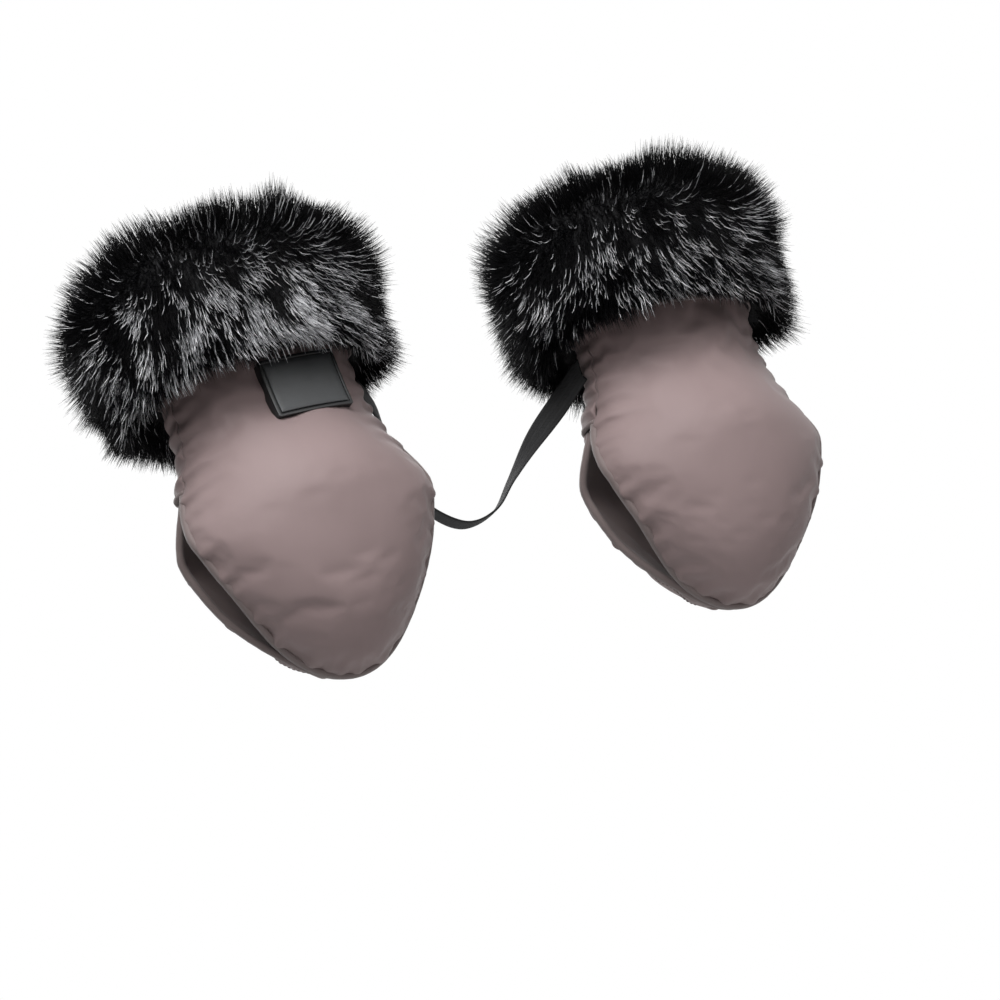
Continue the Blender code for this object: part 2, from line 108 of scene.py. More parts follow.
STUD_CAP_THICKNESS = 0.0010
STUD_BASE_RADIUS = 0.0042
STUD_BASE_THICKNESS = 0.0008
STUD_BOSS_RADIUS = 0.0016
STUD_BOSS_HEIGHT = 0.0017
STUD_SHANK_RADIUS = 0.0015
SOCKET_CLEARANCE = 0.0008
SOCKET_FLOOR = 0.0004
STUD_TURNS = 32
LABEL_WIDTH = 0.0495
LABEL_SHIFT = -0.0016
LABEL_HEIGHT = 0.036
LABEL_THICKNESS = 0.0020
LABEL_STAND = 0.0013
LABEL_BEND = 0.4
STRAP_WIDTH = 0.015
STRAP_THICKNESS = 0.0014
STRAP_SEAT_GAP = 0.0008
STRAP_END_HEIGHT = 0.094
STRAP_TURN_SHARES = (0.15, 0.85)
STRAP_LENGTH = 0.2422
STRAP_STEPS = 150
STRAP_COLUMNS = 10
WEBBING_ROW = 0.0025
WEBBING_RIB = 0.0011
STRAP_ROUTE = (
    (-0.063, 0.0165, 0.087),
    (-0.055, 0.031, 0.063),
    (-0.041, 0.039, 0.036),
    (-0.018, 0.042, 0.020),
    (0.004, 0.041, 0.025),
    (0.019, 0.038, 0.042),
    (0.037, 0.031, 0.063),
    (0.054, 0.017, 0.080),
)
EDGE_THICKNESS = SHELL_THICKNESS + LOFT_EDGE + LINING_THICKNESS + 2 * LAYER_GAP
PLACKET_RIM = EDGE_THICKNESS / 2 + (BINDING_RADIUS + FIT_GAP) / PLACKET_SLOPE_SHARE
SEAM_ANGLE = asin(SEAM_SETBACK / WRIST_DEPTH)
FRONT = (-1, BODY_TOP, SEAM_SETBACK, PALM_DEPTH_FRONT, 0.0)
FLAP = (1, SLOT_TOP - HINGE_GAP, FLAP_CORNER_OFFSET, PALM_DEPTH_BACK, FLAP_INSET)

# Camera, from the photograph's own perspective
CAMERA_AZIMUTH = radians(-23.2)
CAMERA_ELEVATION = radians(-16.0)
CAMERA_ROLL = radians(14.8)
CAMERA_DISTANCE = 1.48
CAMERA_AIM = Vector((0.0, 0.0, 0.066))
CAMERA_LENS = 88.85
CAMERA_SHIFT = (0.0072, -0.0732)
WORLD_LIGHT = 0.09
FLOOR_GLOW = 0.55
FLOOR_HEIGHT = -1.5
FLOOR_REACH = 30.0
LAMPS = (
    ("key", (-0.8, -1.4, 1.6), 1.6, 68.0),
    ("fill", (0.6, -1.6, 0.9), 1.2, 6.0),
    ("back", (0.3, 1.7, 1.0), 1.6, 16.0),
)

# How each padded panel is blown up between its seams
FRONT_GRID = (54, 58)
BACK_GRID = (56, 26)
FLAP_GRID = (54, 40)
SEAM_SINK = 0.0016
SEAM_REACH = 0.010
PAD_START = 0.0022
PUCKER_HEIGHT = 0.0031
PUCKER_FLOOR = -0.35
PUCKER_REACH = 0.021
PUCKER_RATE = 118
WAIST_GATHER = 0.9
WAIST_RATE = 500
WAIST_BELOW = (0.025, 0.055)
WAIST_ABOVE = (0.095, 0.120)
PAD_LIMIT = 0.0055
PAD_FRAMES = 22
NOISE_SEED = 1
CLOTH_WIDTH = 2.6 * PALM_HALF_WIDTH
CLOTH_ROW = 0.0036
CLOTH_SETTINGS = {
    "quality": 5,
    "mass": 0.12,
    "tension_stiffness": 12,
    "compression_stiffness": 12,
    "shear_stiffness": 4,
    "bending_stiffness": 0.6,
    "use_pressure": True,
    "uniform_pressure_force": 1.6,
    "shrink_min": -0.020,
}
QUILT_CELLS = 5.0
QUILT_PUFF = 0.0011
EDGE_WRAP = 0.0018
SEAM_CORD_RADIUS = 0.0017
SEAM_CORD_DEPTH = 0.0024
SEAM_CORD_DROP = 0.0006
RING_COLUMNS = 180
SEAM_CORD_STEPS = 96
SEAM_CORD_TURNS = 12
BINDING_TURNS = 14
STITCH_PITCH = 0.0030
STITCH_LIFT = 0.00015
THREAD_RADIUS = 0.00028
TOPSTITCH_INSETS = (0.030, 0.085)
TOPSTITCH_STEPS = 90
SEARCH_REACH = 0.03

# Fur pile: across its section, each row is (distance out from the wrist, height, comb out, comb up,
# pile length, share of silver hairs, kept low on the top and inside of the roll as painted shade)
PILE_SECTION = (
    (0.0035, 0.1260, 0.25, -0.95, 0.0110, 0.35),
    (0.0110, 0.1205, 0.34, -0.94, 0.0150, 0.60),
    (0.0190, 0.1220, 0.36, -0.93, 0.0175, 0.85),
    (0.0255, 0.1300, 0.36, -0.93, 0.0190, 1.00),
    (0.0285, 0.1430, 0.36, -0.93, 0.0197, 1.00),
    (0.0295, 0.1570, 0.42, -0.90, 0.0195, 0.85),
    (0.0290, 0.1700, 0.70, -0.60, 0.0179, 0.36),
    (0.0255, 0.1830, 0.78, 0.30, 0.0170, 0.14),
    (0.0175, 0.1930, 0.46, 0.85, 0.0185, 0.10),
    (0.0060, 0.1975, 0.10, 0.98, 0.0175, 0.08),
    (-0.0050, 0.1945, -0.25, 0.95, 0.0150, 0.06),
    (-0.0110, 0.1860, -0.32, 0.92, 0.0120, 0.05),
    (-0.0135, 0.1740, -0.30, 0.92, 0.0100, 0.04),
)
# painted shade: the same fur on both muffs, given fewer silver hairs on the right one
SILVER_SHADE_BY_MUFF = {"left": 0.94, "right": 0.45}
PILE_QUARTERS = 4
PILE_CELLS = 96
PELT_STEPS = 36
UNDERCOAT_STEPS = 30
# painted shade: the silver share at the cuff's sides and back, against full at its front, which faces the
# lamps
SILVER_SHADE_BEHIND = 0.16
STRANDS_PER_QUARTER = 9600
STRAND_POINTS = 4
STRAND_RADIUS = 0.00024
CLUMP_SIZE = 0.0042
CLUMP_PULL = 0.5
STRAY = 0.17
FLOW = 0.9
FLOW_SCALE = 30.0
SWELL_SCALE = 48.0
SILVER_PATCH_SCALE = 62.0
SILVER_PATCH_FLOOR = 0.38
SILVER_PATCH_GAIN = 3.6
SILVER_STOUTNESS = 0.5
RISE_OUTWARD = 0.62
RISE_COMB = 0.8
RISE_STRAY = 0.15
TIP_TAPER = 0.88


def muff_matrix(side):
    """Where one muff's own frame lies."""
    place = Matrix.Translation((SIDES[side] * MUFF_SPACING / 2, 0.0, 0.0))
    return place @ Matrix.Rotation(MUFF_TILTS[side], 4, "Y")


# ---- node helpers


def socket(sockets, name):
    """The socket in use that has this name."""
    return next(s for s in sockets if s.name == name and s.enabled)


def connect(tree, made, inputs):
    """Sets or links a node's inputs, by name or by number."""
    for name, value in inputs.items():
        target = made.inputs[name] if isinstance(name, int) else socket(made.inputs, name)
        if isinstance(value, bpy.types.NodeSocket):
            tree.links.new(value, target)
        else:
            target.default_value = value


def node(tree, kind, inputs=None, **settings):
    """A node with its settings made and its inputs set or linked."""
    made = tree.nodes.new(kind)
    for key, value in settings.items():
        setattr(made, key, value)
    connect(tree, made, inputs or {})
    return made


def out(made, name=None):
    """An output in use of a node, the first one if no name is given."""
    return next(s for s in made.outputs if s.enabled and name in (None, s.name))


def maths(tree, operation, *values):
    """A number worked out from others."""
    return out(node(tree, "ShaderNodeMath", dict(enumerate(values)), operation=operation))


def times(tree, a, b):
    """The product of two numbers."""
    return maths(tree, "MULTIPLY", a, b)


def plus(tree, a, b):
    """The sum of two numbers."""
    return maths(tree, "ADD", a, b)


def vectors(tree, operation, *values):
    """A vector worked out from others."""
    return out(node(tree, "ShaderNodeVectorMath", dict(enumerate(values)), operation=operation))


def scaled(tree, vector, amount):
    """A vector times a number, which is the node's fourth input."""
    return out(node(tree, "ShaderNodeVectorMath", {0: vector, 3: amount}, operation="SCALE"))


def cloud(tree, place, scale, detail):
    """Smooth noise from 0 to 1."""
    return out(node(tree, "ShaderNodeTexNoise", {"Vector": place, "Scale": scale, "Detail": detail}), "Fac")


def bumped(tree, height, strength, distance):
    """The normal that a height gives."""
    return out(node(tree, "ShaderNodeBump", {"Height": height, "Strength": strength, "Distance": distance}))


def spread(tree, value, low, high):
    """A number from 0 to 1 spread between two others."""
    return out(node(tree, "ShaderNodeMapRange", {"Value": value, "To Min": low, "To Max": high}))


def attribute(tree, name):
    """A number stored on the mesh."""
    return node(tree, "ShaderNodeAttribute", attribute_name=name).outputs["Fac"]


def ramp(tree, value, stops):
    """Colours by value: stops of (place, colour)."""
    made = node(tree, "ShaderNodeValToRGB", {"Fac": value})
    band = made.color_ramp.elements
    while len(band) < len(stops):
        band.new(0.5)
    for element, (place, colour) in zip(band, stops):
        element.position = place
        element.color = (*colour, 1.0)
    return out(made, "Color")


def finish(name):
    """A new material and its shader, with the shader's own settings still to make."""
    made = bpy.data.materials.new(name)
    made.use_nodes = True
    return made, made.node_tree, made.node_tree.nodes["Principled BSDF"]


def fur_finish():
    """Black hairs, some of them silver along their middle."""
    made, tree, shader = finish("long_pile_fur")
    tone = attribute(tree, "tone")
    greys = ((0.0, 0.15), (0.3, 0.6), (0.6, 1.0), (1.0, 0.8))
    band = ramp(tree, attribute(tree, "along"), [(place, (grey,) * 3) for place, grey in greys])
    colour = ramp(tree, times(tree, tone, band), (
        (0.0, (0.0028, 0.0028, 0.0032)),
        (0.2, (0.009, 0.009, 0.010)),
        (0.5, (0.20, 0.203, 0.212)),
        (0.72, (0.70, 0.70, 0.73)),
        (1.0, (0.98, 0.98, 1.0)),
    ))
    connect(tree, shader, {"Base Color": colour, "Roughness": 0.34, "Specular IOR Level": 0.15})
    return made


def undercoat_finish():
    """The dense dark wool under the long hairs."""
    made, tree, shader = finish("fur_undercoat")
    place = node(tree, "ShaderNodeTexCoord").outputs["Object"]
    grain = cloud(tree, place, 900.0, 3.0)
    colour = ramp(tree, grain, ((0.3, (0.002, 0.002, 0.0025)), (0.8, (0.012, 0.012, 0.014))))
    normal = bumped(tree, grain, 0.6, 0.001)
    connect(tree, shader, {"Base Color": colour, "Normal": normal, "Roughness": 0.95})
    return made


def cloth_finish(name, light, dark, roughness, pitch, sheen):
    """Woven cloth: its weave along its own UV, soft crinkles, and painted shade that darkens it towards its
    seams.
    """
    made, tree, shader = finish(name)
    place = node(tree, "ShaderNodeTexCoord").outputs
    weave = node(tree, "ShaderNodeSeparateXYZ", {"Vector": place["UV"]}).outputs
    warp, weft = (maths(tree, "SINE", times(tree, weave[axis], 2 * pi / pitch)) for axis in "XY")
    threads = times(tree, warp, weft)
    cloudy = cloud(tree, place["Object"], 16.0, 3.0)
    # painted shade: the seam share darkens the cloth towards its seams, where the pad dips in
    tone = plus(tree, times(tree, cloudy, 0.5), times(tree, attribute(tree, "seam"), 0.55))
    tone = plus(tree, tone, times(tree, threads, 0.04))
    height = plus(tree, cloud(tree, place["Object"], 85.0, 4.0), times(tree, threads, 0.12))
    connect(tree, shader, {
        "Base Color": ramp(tree, tone, ((0.1, light), (0.95, dark))),
        "Normal": bumped(tree, height, 0.35, 0.0006),
        "Roughness": spread(tree, cloudy, roughness - 0.05, roughness + 0.05),
        "Specular IOR Level": 0.22,
        "Sheen Weight": sheen,
        "Sheen Roughness": 0.45,
    })
    return made


def rubber_finish(name, colour, roughness):
    """Moulded rubber with a fine matt grain."""
    made, tree, shader = finish(name)
    place = node(tree, "ShaderNodeTexCoord").outputs["Object"]
    dark = tuple(c * 0.8 for c in colour)
    connect(tree, shader, {
        "Base Color": ramp(tree, cloud(tree, place, 70.0, 2.0), ((0.3, dark), (0.7, colour))),
        "Normal": bumped(tree, cloud(tree, place, 1500.0, 2.0), 0.3, 0.0002),
        "Roughness": roughness,
    })
    return made


def nickel_finish():
    """Plated metal with fine turning marks and dull spots."""
    made, tree, shader = finish("nickel_plate")
    dull = cloud(tree, node(tree, "ShaderNodeTexCoord").outputs["Object"], 400.0, 3.0)
    connect(tree, shader, {
        "Base Color": ramp(tree, dull, ((0.3, (0.52, 0.51, 0.49)), (0.7, (0.66, 0.65, 0.63)))),
        "Roughness": spread(tree, dull, 0.22, 0.42),
        "Metallic": 1.0,
    })
    return made


def webbing_finish():
    """Black webbing with close ribs along it and a herringbone across them, its colour darker in the
    grooves as painted shade.
    """
    made, tree, shader = finish("ribbed_webbing")
    place = node(tree, "ShaderNodeTexCoord").outputs["UV"]
    flat = node(tree, "ShaderNodeSeparateXYZ", {"Vector": place}).outputs
    across = maths(tree, "PINGPONG", flat["X"], WEBBING_ROW)
    slant = plus(tree, flat["Y"], times(tree, across, 0.7))
    ribs, rows = (
        maths(tree, "ABSOLUTE", maths(tree, "SINE", times(tree, along, pi / pitch)))
        for along, pitch in ((slant, WEBBING_RIB), (flat["X"], WEBBING_ROW))
    )
    height = plus(tree, times(tree, ribs, 0.6), times(tree, rows, 0.4))
    # painted shade: the colour follows the height, darker in the grooves between the ribs
    connect(tree, shader, {
        "Base Color": ramp(tree, height, ((0.1, (0.002, 0.002, 0.0022)), (0.95, (0.012, 0.012, 0.013)))),
        "Normal": bumped(tree, height, 0.7, 0.0003),
        "Roughness": 0.7,
        "Specular IOR Level": 0.3,
    })
    return made


# ---- meshes


def placed(name, data):
    """A new object in the scene."""
    made = bpy.data.objects.new(name, data)
    bpy.context.scene.collection.objects.link(made)
    return made


def dropped(spare):
    """Removes a mesh object that was only a means to another."""
    mesh = spare.data
    bpy.data.objects.remove(spare)
    bpy.data.meshes.remove(mesh)


def new_piece(name, mesh, material, body=None):
    """A piece that rides on a body."""
    mesh.materials.clear()
    mesh.materials.append(material)
    made = placed(name, mesh)
    if body:
        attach(made, body)
    return made


def stands_for(piece, slot, *nodes):
    """Hides the solids that a piece stands for. The piece and its material slot are not used."""
    if nodes:
        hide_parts(*nodes)


def mesh_of(name, places, faces, smooth=True):
    """A mesh from places and faces."""
    mesh = bpy.data.meshes.new(name)
    mesh.from_pydata([tuple(p) for p in places], [], faces)
    mesh.update()
    if smooth:
        mesh.shade_smooth()
    return mesh


def grid_faces(columns, rows, closed=False):
    """Quads of a grid of columns by rows of cells, its first direction closed into a ring if asked."""
    wide = columns if closed else columns + 1
    faces = []
    for row in range(rows):
        for column in range(columns):
            a = row * wide + column
            b = row * wide + (column + 1) % wide
            faces.append((a, b, b + wide, a + wide))
    return faces


def hoop_faces(columns, rings):
    """Quads of a hoop: a number of rings of columns, with the last one joined to the first."""
    last = (rings - 1) * columns
    faces = grid_faces(columns, rings - 1, closed=True)
    return faces + [(last + c, last + (c + 1) % columns, (c + 1) % columns, c) for c in range(columns)]


def rod_faces(turns, rings):
    """Quads of a rod: a number of rings of turns, with a flat cap on each end."""
    last = (rings - 1) * turns
    caps = [tuple(range(turns)), tuple(reversed(range(last, last + turns)))]
    return grid_faces(turns, rings - 1, closed=True) + caps


def weave_uv(mesh, columns, place):
    """A UV map in metres along the cloth, which its weave follows. place gives it by row and column."""
    layer = mesh.uv_layers.new(name="weave")
    for loop in mesh.loops:
        layer.data[loop.index].uv = place(*divmod(loop.vertex_index, columns))


def stored(mesh, name, values):
    """A number or a vector on each point of a mesh."""
    values = np.array(values)
    kind, field = ("FLOAT", "value") if values.ndim == 1 else ("FLOAT_VECTOR", "vector")
    mesh.attributes.new(name, kind, "POINT").data.foreach_set(field, values.ravel())


def curve_through(rows, share):
    """A point, or a row of numbers, read from a smooth curve through rows."""
    last = len(rows) - 1
    index = min(int(share * last), last - 1)
    t = share * last - index
    a, b = rows[index], rows[index + 1]
    before = rows[index - 1] if index else 2 * a - b
    after = rows[index + 2] if index + 2 <= last else 2 * b - a
    return (
        a * (2 * t**3 - 3 * t**2 + 1) + b * (3 * t**2 - 2 * t**3)
        + (b - before) / 2 * (t**3 - 2 * t**2 + t) + (after - a) / 2 * (t**3 - t**2)
    )


def ring_place(angle, distance, height, hang=1.0):
    """A place round the wrist, in the muff's own frame. The cuff droops towards the back."""
    normal = Vector((cos(angle) / WRIST_HALF_WIDTH, sin(angle) / WRIST_DEPTH, 0.0)).normalized()
    z = height - hang * CUFF_BACK_DROOP * (1 + sin(angle)) / 2
    lean = CUFF_SIDE_LEAN * max(0.0, distance / CUFF_OUT - CUFF_LEAN_START)
    foot = Vector((WRIST_HALF_WIDTH * cos(angle) - lean, WRIST_DEPTH * sin(angle), z))
    return foot + normal * distance, normal


# ---- fur


def pelt_mesh(side, quarter):
    """A quarter of the backing that the pile stands on, with its comb, length and share of silver hairs,
    which also carries painted shade.
    """
    whole = muff_matrix(side)
    turn = whole.to_3x3()
    rows = np.array(PILE_SECTION)
    columns = PILE_CELLS // PILE_QUARTERS
    first = quarter * columns - columns // 2
    places, combs, lengths, silver_with_shade = [], [], [], []
    for row in range(PELT_STEPS + 1):
        distance, height, comb_out, comb_up, length, silver = curve_through(rows, row / PELT_STEPS)
        for column in range(columns + 1):
            angle = 2 * pi * (first + column) / PILE_CELLS
            place, normal = ring_place(angle, distance, height)
            forward = max(0.0, -sin(angle))
            places.append(whole @ place)
            combs.append(turn @ (normal * comb_out + Vector((0.0, 0.0, comb_up))).normalized())
            lengths.append(length)
            # painted shade: the silver share is lower on the right muff and falls towards the cuff's sides
            # and back, away from the lamps
            silver_with_shade.append(silver * SILVER_SHADE_BY_MUFF[side] * mixed(SILVER_SHADE_BEHIND, 1.0, forward))
    faces = [tuple(reversed(face)) for face in grid_faces(columns, PELT_STEPS)]
    mesh = mesh_of("pelt", places, faces)
    stored(mesh, "comb", combs)
    stored(mesh, "pile", lengths)
    stored(mesh, "silver", silver_with_shade)
    return mesh


def new_tree(name, numbers, whole_numbers=()):
    """A Geometry Nodes tree with named inputs, and what those inputs give."""
    tree = bpy.data.node_groups.new(name, "GeometryNodeTree")
    kinds = [("Geometry", "INPUT", "Geometry")]
    kinds += [(number, "INPUT", "Float") for number in numbers]
    kinds += [(number, "INPUT", "Int") for number in whole_numbers]
    for title, way, kind in kinds + [("Geometry", "OUTPUT", "Geometry")]:
        tree.interface.new_socket(title, in_out=way, socket_type=f"NodeSocket{kind}")
    return tree, tree.nodes.new("NodeGroupInput").outputs


def end_tree(tree, solid, material):
    """Smooths what a tree has made, makes its instances real and sets its material."""
    solid = out(node(tree, "GeometryNodeSetShadeSmooth", {"Geometry": solid}))
    solid = out(node(tree, "GeometryNodeRealizeInstances", {"Geometry": solid}))
    solid = out(node(tree, "GeometryNodeSetMaterial", {"Geometry": solid, "Material": material}))
    node(tree, "NodeGroupOutput", {"Geometry": solid})
    return tree


def pile_tree(material):
    """Strands scattered over a pelt, each one bent along its comb and drawn into a clump."""
    numbers = ("Strands per square metre", "Strand radius", "Clump size", "Clump pull", "Stray", "Flow")
    tree, given = new_tree("fur_pile", numbers, ("Seed",))

    def kept(geometry, name, kind, value):
        return out(node(tree, "GeometryNodeStoreNamedAttribute", {
            "Geometry": geometry, "Name": name, "Value": value,
        }, data_type=kind, domain="POINT"))

    def named(name, kind="FLOAT_VECTOR"):
        return out(node(tree, "GeometryNodeInputNamedAttribute", {"Name": name}, data_type=kind))

    def chance(low, high, seed_step):
        seed = plus(tree, given["Seed"], seed_step)
        return out(node(tree, "FunctionNodeRandomValue", {"Min": low, "Max": high, "Seed": seed}))

    scatter = node(tree, "GeometryNodeDistributePointsOnFaces", {
        "Mesh": given["Geometry"], "Density": given["Strands per square metre"], "Seed": given["Seed"],
    }).outputs
    here = out(node(tree, "GeometryNodeInputPosition"))
    points = kept(scatter["Points"], "root", "FLOAT_VECTOR", here)
    points = kept(points, "outward", "FLOAT_VECTOR", scatter["Normal"])
    stray = {axis: chance(-1.0, 1.0, step) for step, axis in enumerate("XYZ", start=1)}
    points = kept(points, "stray", "FLOAT_VECTOR", out(node(tree, "ShaderNodeCombineXYZ", stray)))
    swell = plus(tree, 0.25, times(tree, cloud(tree, here, SWELL_SCALE, 1.0), 1.5))
    reach = times(tree, times(tree, named("pile", "FLOAT"), chance(0.60, 1.10, 4)), swell)
    points = kept(points, "reach", "FLOAT", reach)
    patch = maths(tree, "SUBTRACT", cloud(tree, here, SILVER_PATCH_SCALE, 2.0), SILVER_PATCH_FLOOR)
    # the pelt's silver share, which carries painted shade, sets how many strands are silver
    share = times(tree, named("silver", "FLOAT"), times(tree, patch, SILVER_PATCH_GAIN))
    silvery = maths(tree, "LESS_THAN", chance(0.0, 1.0, 5), share)
    tone = times(tree, silvery, chance(0.62, 1.1, 6))
    points = kept(points, "tone", "FLOAT", plus(tree, tone, chance(0.0, 0.16, 7)))

    line = node(tree, "GeometryNodeCurvePrimitiveLine")
    line = out(node(tree, "GeometryNodeResampleCurve", {"Curve": line.outputs[0], "Count": STRAND_POINTS}))
    strands = out(node(tree, "GeometryNodeInstanceOnPoints", {"Points": points, "Instance": line}))
    strands = out(node(tree, "GeometryNodeRealizeInstances", {"Geometry": strands}))
    along = node(tree, "GeometryNodeSplineParameter").outputs["Factor"]
    root, comb, wild = named("root"), named("comb"), named("stray")
    flow = node(tree, "ShaderNodeTexNoise", {"Vector": root, "Scale": FLOW_SCALE, "Detail": 1.0})
    flow = vectors(tree, "SUBTRACT", out(flow, "Color"), (0.5, 0.5, 0.5))
    comb = vectors(tree, "ADD", comb, scaled(tree, flow, given["Flow"]))
    rise = vectors(tree, "ADD", scaled(tree, comb, RISE_COMB), scaled(tree, wild, RISE_STRAY))
    rise = vectors(tree, "ADD", scaled(tree, named("outward"), RISE_OUTWARD), rise)
    rise = vectors(tree, "NORMALIZE", rise)
    fall = vectors(tree, "NORMALIZE", vectors(tree, "ADD", comb, scaled(tree, wild, given["Stray"])))
    squared = times(tree, along, along)
    bent = scaled(tree, vectors(tree, "SUBTRACT", fall, rise), squared)
    shape = scaled(tree, vectors(tree, "ADD", scaled(tree, rise, along), bent), named("reach", "FLOAT"))
    fineness = maths(tree, "DIVIDE", 1.0, given["Clump size"])
    cells = node(tree, "ShaderNodeTexVoronoi", {"Vector": root, "Scale": fineness})
    pull = vectors(tree, "SUBTRACT", cells.outputs["Position"], root)
    pull = scaled(tree, pull, times(tree, squared, given["Clump pull"]))
    place = vectors(tree, "ADD", root, vectors(tree, "ADD", shape, pull))
    strands = out(node(tree, "GeometryNodeSetPosition", {"Geometry": strands, "Position": place}))
    strands = kept(strands, "along", "FLOAT", along)
    taper = maths(tree, "SUBTRACT", 1.0, times(tree, maths(tree, "POWER", along, 2.0), TIP_TAPER))
    stout = plus(tree, 1.0, times(tree, named("tone", "FLOAT"), SILVER_STOUTNESS))
    thick = times(tree, stout, given["Strand radius"])
    profile = node(tree, "GeometryNodeCurvePrimitiveCircle", {"Resolution": 3, "Radius": 1.0})
    solid = node(tree, "GeometryNodeCurveToMesh", {
        "Curve": strands,
        "Profile Curve": out(profile),
        "Scale": times(tree, taper, thick),
        "Fill Caps": True,
    })
    return end_tree(tree, out(solid), material)


def grown(source, tree, values, name):
    """What a node tree makes of an object, as a plain mesh."""
    modifier = source.modifiers.new("nodes", "NODES")
    modifier.node_group = tree
    for item in tree.interface.items_tree:
        if item.in_out == "INPUT" and item.name in values:
            modifier[item.identifier] = values[item.name]
    graph = bpy.context.evaluated_depsgraph_get()
    mesh = bpy.data.meshes.new_from_object(source.evaluated_get(graph))
    mesh.name = name
    for spent in ("root", "outward", "stray", "reach", "comb", "pile", "silver"):
        if spent in mesh.attributes:
            mesh.attributes.remove(mesh.attributes[spent])
    dropped(source)
    return mesh


def fur_cuff(side, tree, fur, undercoat):
    """One muff's cuff: a dark backing ring and four quarters of pile."""
    body, cad_name = f"{side}_muff", f"{side}_fur_cuff"
    rows = np.array(PILE_SECTION)
    shares = [step / UNDERCOAT_STEPS for step in range(UNDERCOAT_STEPS + 1)]
    section = [tuple(curve_through(rows, share)[:2]) + (1.0,) for share in shares]
    foot = BODY_TOP + 2 * FIT_GAP
    section += [(-CUFF_IN, 0.150, 0.8), (-CUFF_IN, foot, 0.0), (0.0024, foot, 0.0)]
    whole = muff_matrix(side)
    places = []
    for distance, height, hang in section:
        for column in range(PILE_CELLS):
            place, normal = ring_place(2 * pi * column / PILE_CELLS, distance, height, hang)
            rough = noise.noise(whole @ place * 160) * 0.0012
            places.append(whole @ (place + normal * rough * hang))
    mesh = mesh_of(f"{side}_fur_undercoat", places, hoop_faces(PILE_CELLS, len(section)))
    point_out(mesh)
    stands_for(new_piece(mesh.name, mesh, undercoat, body), "black_fur", cad_name)
    for quarter in range(PILE_QUARTERS):
        pelt = pelt_mesh(side, quarter)
        name = f"{side}_fur_pile_{quarter + 1}"
        mesh = grown(placed("pelt", pelt), tree, {
            "Strands per square metre": STRANDS_PER_QUARTER / sum(face.area for face in pelt.polygons),
            "Strand radius": STRAND_RADIUS,
            "Clump size": CLUMP_SIZE,
            "Clump pull": CLUMP_PULL,
            "Stray": STRAY,
            "Flow": FLOW,
            "Seed": 11 + quarter + 7 * (SIDES[side] + 1),
        }, name)
        stands_for(new_piece(name, mesh, fur, body), "black_fur", cad_name)


def point_out(mesh):
    """Turns a closed mesh's faces outwards."""
    bm = bmesh.new()
    bm.from_mesh(mesh)
    bmesh.ops.recalc_face_normals(bm, faces=bm.faces)
    if bm.calc_volume(signed=True) < 0:
        bmesh.ops.reverse_faces(bm, faces=bm.faces)
    bm.to_mesh(mesh)
    bm.free()


# ---- cloth shapes, in a muff's own upright frame


def eased(value, low, high):
    """0 at low, 1 at high, with level ends."""
    share = min(1.0, max(0.0, (value - low) / (high - low)))
    return share * share * (3 - 2 * share)


def mixed(a, b, share):
    """a at 0, b at 1."""
    return a + (b - a) * share


def half_width(z):
    """Half of the muff's width at a height."""
    if z >= PALM_HEIGHT:
        return mixed(PALM_HALF_WIDTH, WRIST_HALF_WIDTH, eased(z, PALM_HEIGHT, WRIST_HEIGHT))
    fall = (PALM_HEIGHT - z) / (PALM_HEIGHT + MUFF_DROP)
    return PALM_HALF_WIDTH * sqrt(max(0.0, 1 - fall**BOTTOM_POWER))


def bottom_height(x):
    """Height of the rounded bottom edge at a distance from the middle."""
    reach = max(0.0, 1 - (x / PALM_HALF_WIDTH) ** 2)
    return PALM_HEIGHT - (PALM_HEIGHT + MUFF_DROP) * reach ** (1 / BOTTOM_POWER)


def edge_depth(z, top_offset):
    """Distance of a panel's free edge from the muff's mid plane, wide at the tunnel."""
    if z < SLOT_TAPER_HEIGHT:
        return mixed(BOTTOM_EDGE_OFFSET, TUNNEL_GAP_HALF, eased(z, CLOSED_HEIGHT, TUNNEL_LEVEL_LOW))
    return mixed(TUNNEL_GAP_HALF, top_offset, eased(z, SLOT_TAPER_HEIGHT, SLOT_TOP))


def bag_point(across, up, depth, panel):
    """A point of a front or flap panel. depth is the distance in from the outer surface."""
    sign, top, top_offset, full_depth, inset = panel
    up = up ** (1 + BOTTOM_FULL_SHARE / 2)
    angle = mixed(pi - SEAM_ANGLE, SEAM_ANGLE, (across + 1) / 2)
    share = cos(angle) / cos(SEAM_ANGLE)
    rise = (sin(angle) - sin(SEAM_ANGLE)) / (1 - sin(SEAM_ANGLE))
    corner = -SIDE_CORNER_DROP
    side_z = mixed(corner, top, up)
    side_x = half_width(side_z) * cos(SEAM_ANGLE) - inset
    corner_x = half_width(corner) * cos(SEAM_ANGLE) - inset
    low_z = bottom_height(share * corner_x) + inset
    x = share * (side_x - depth)
    z = side_z + (1 - up) * (low_z - corner + depth)
    edge = edge_depth(side_z, top_offset)
    edge += (1 - up) * (edge_depth(low_z, top_offset) - edge_depth(corner, top_offset))
    filled = sqrt(1 - (1 - min(1.0, up / BOTTOM_FULL_SHARE)) ** 2)
    crown = mixed(full_depth, WRIST_DEPTH, eased(z, PALM_HEIGHT, WRIST_HEIGHT)) - edge
    return Vector((x, sign * (edge + max(0.0, crown - depth) * filled * rise), z))


def front_point(across, up, depth):
    """A point of the panel over the back of the hand."""
    return bag_point(across, up, depth, FRONT)


def flap_point(across, up, depth):
    """A point of the palm flap."""
    return bag_point(across, up, depth, FLAP)


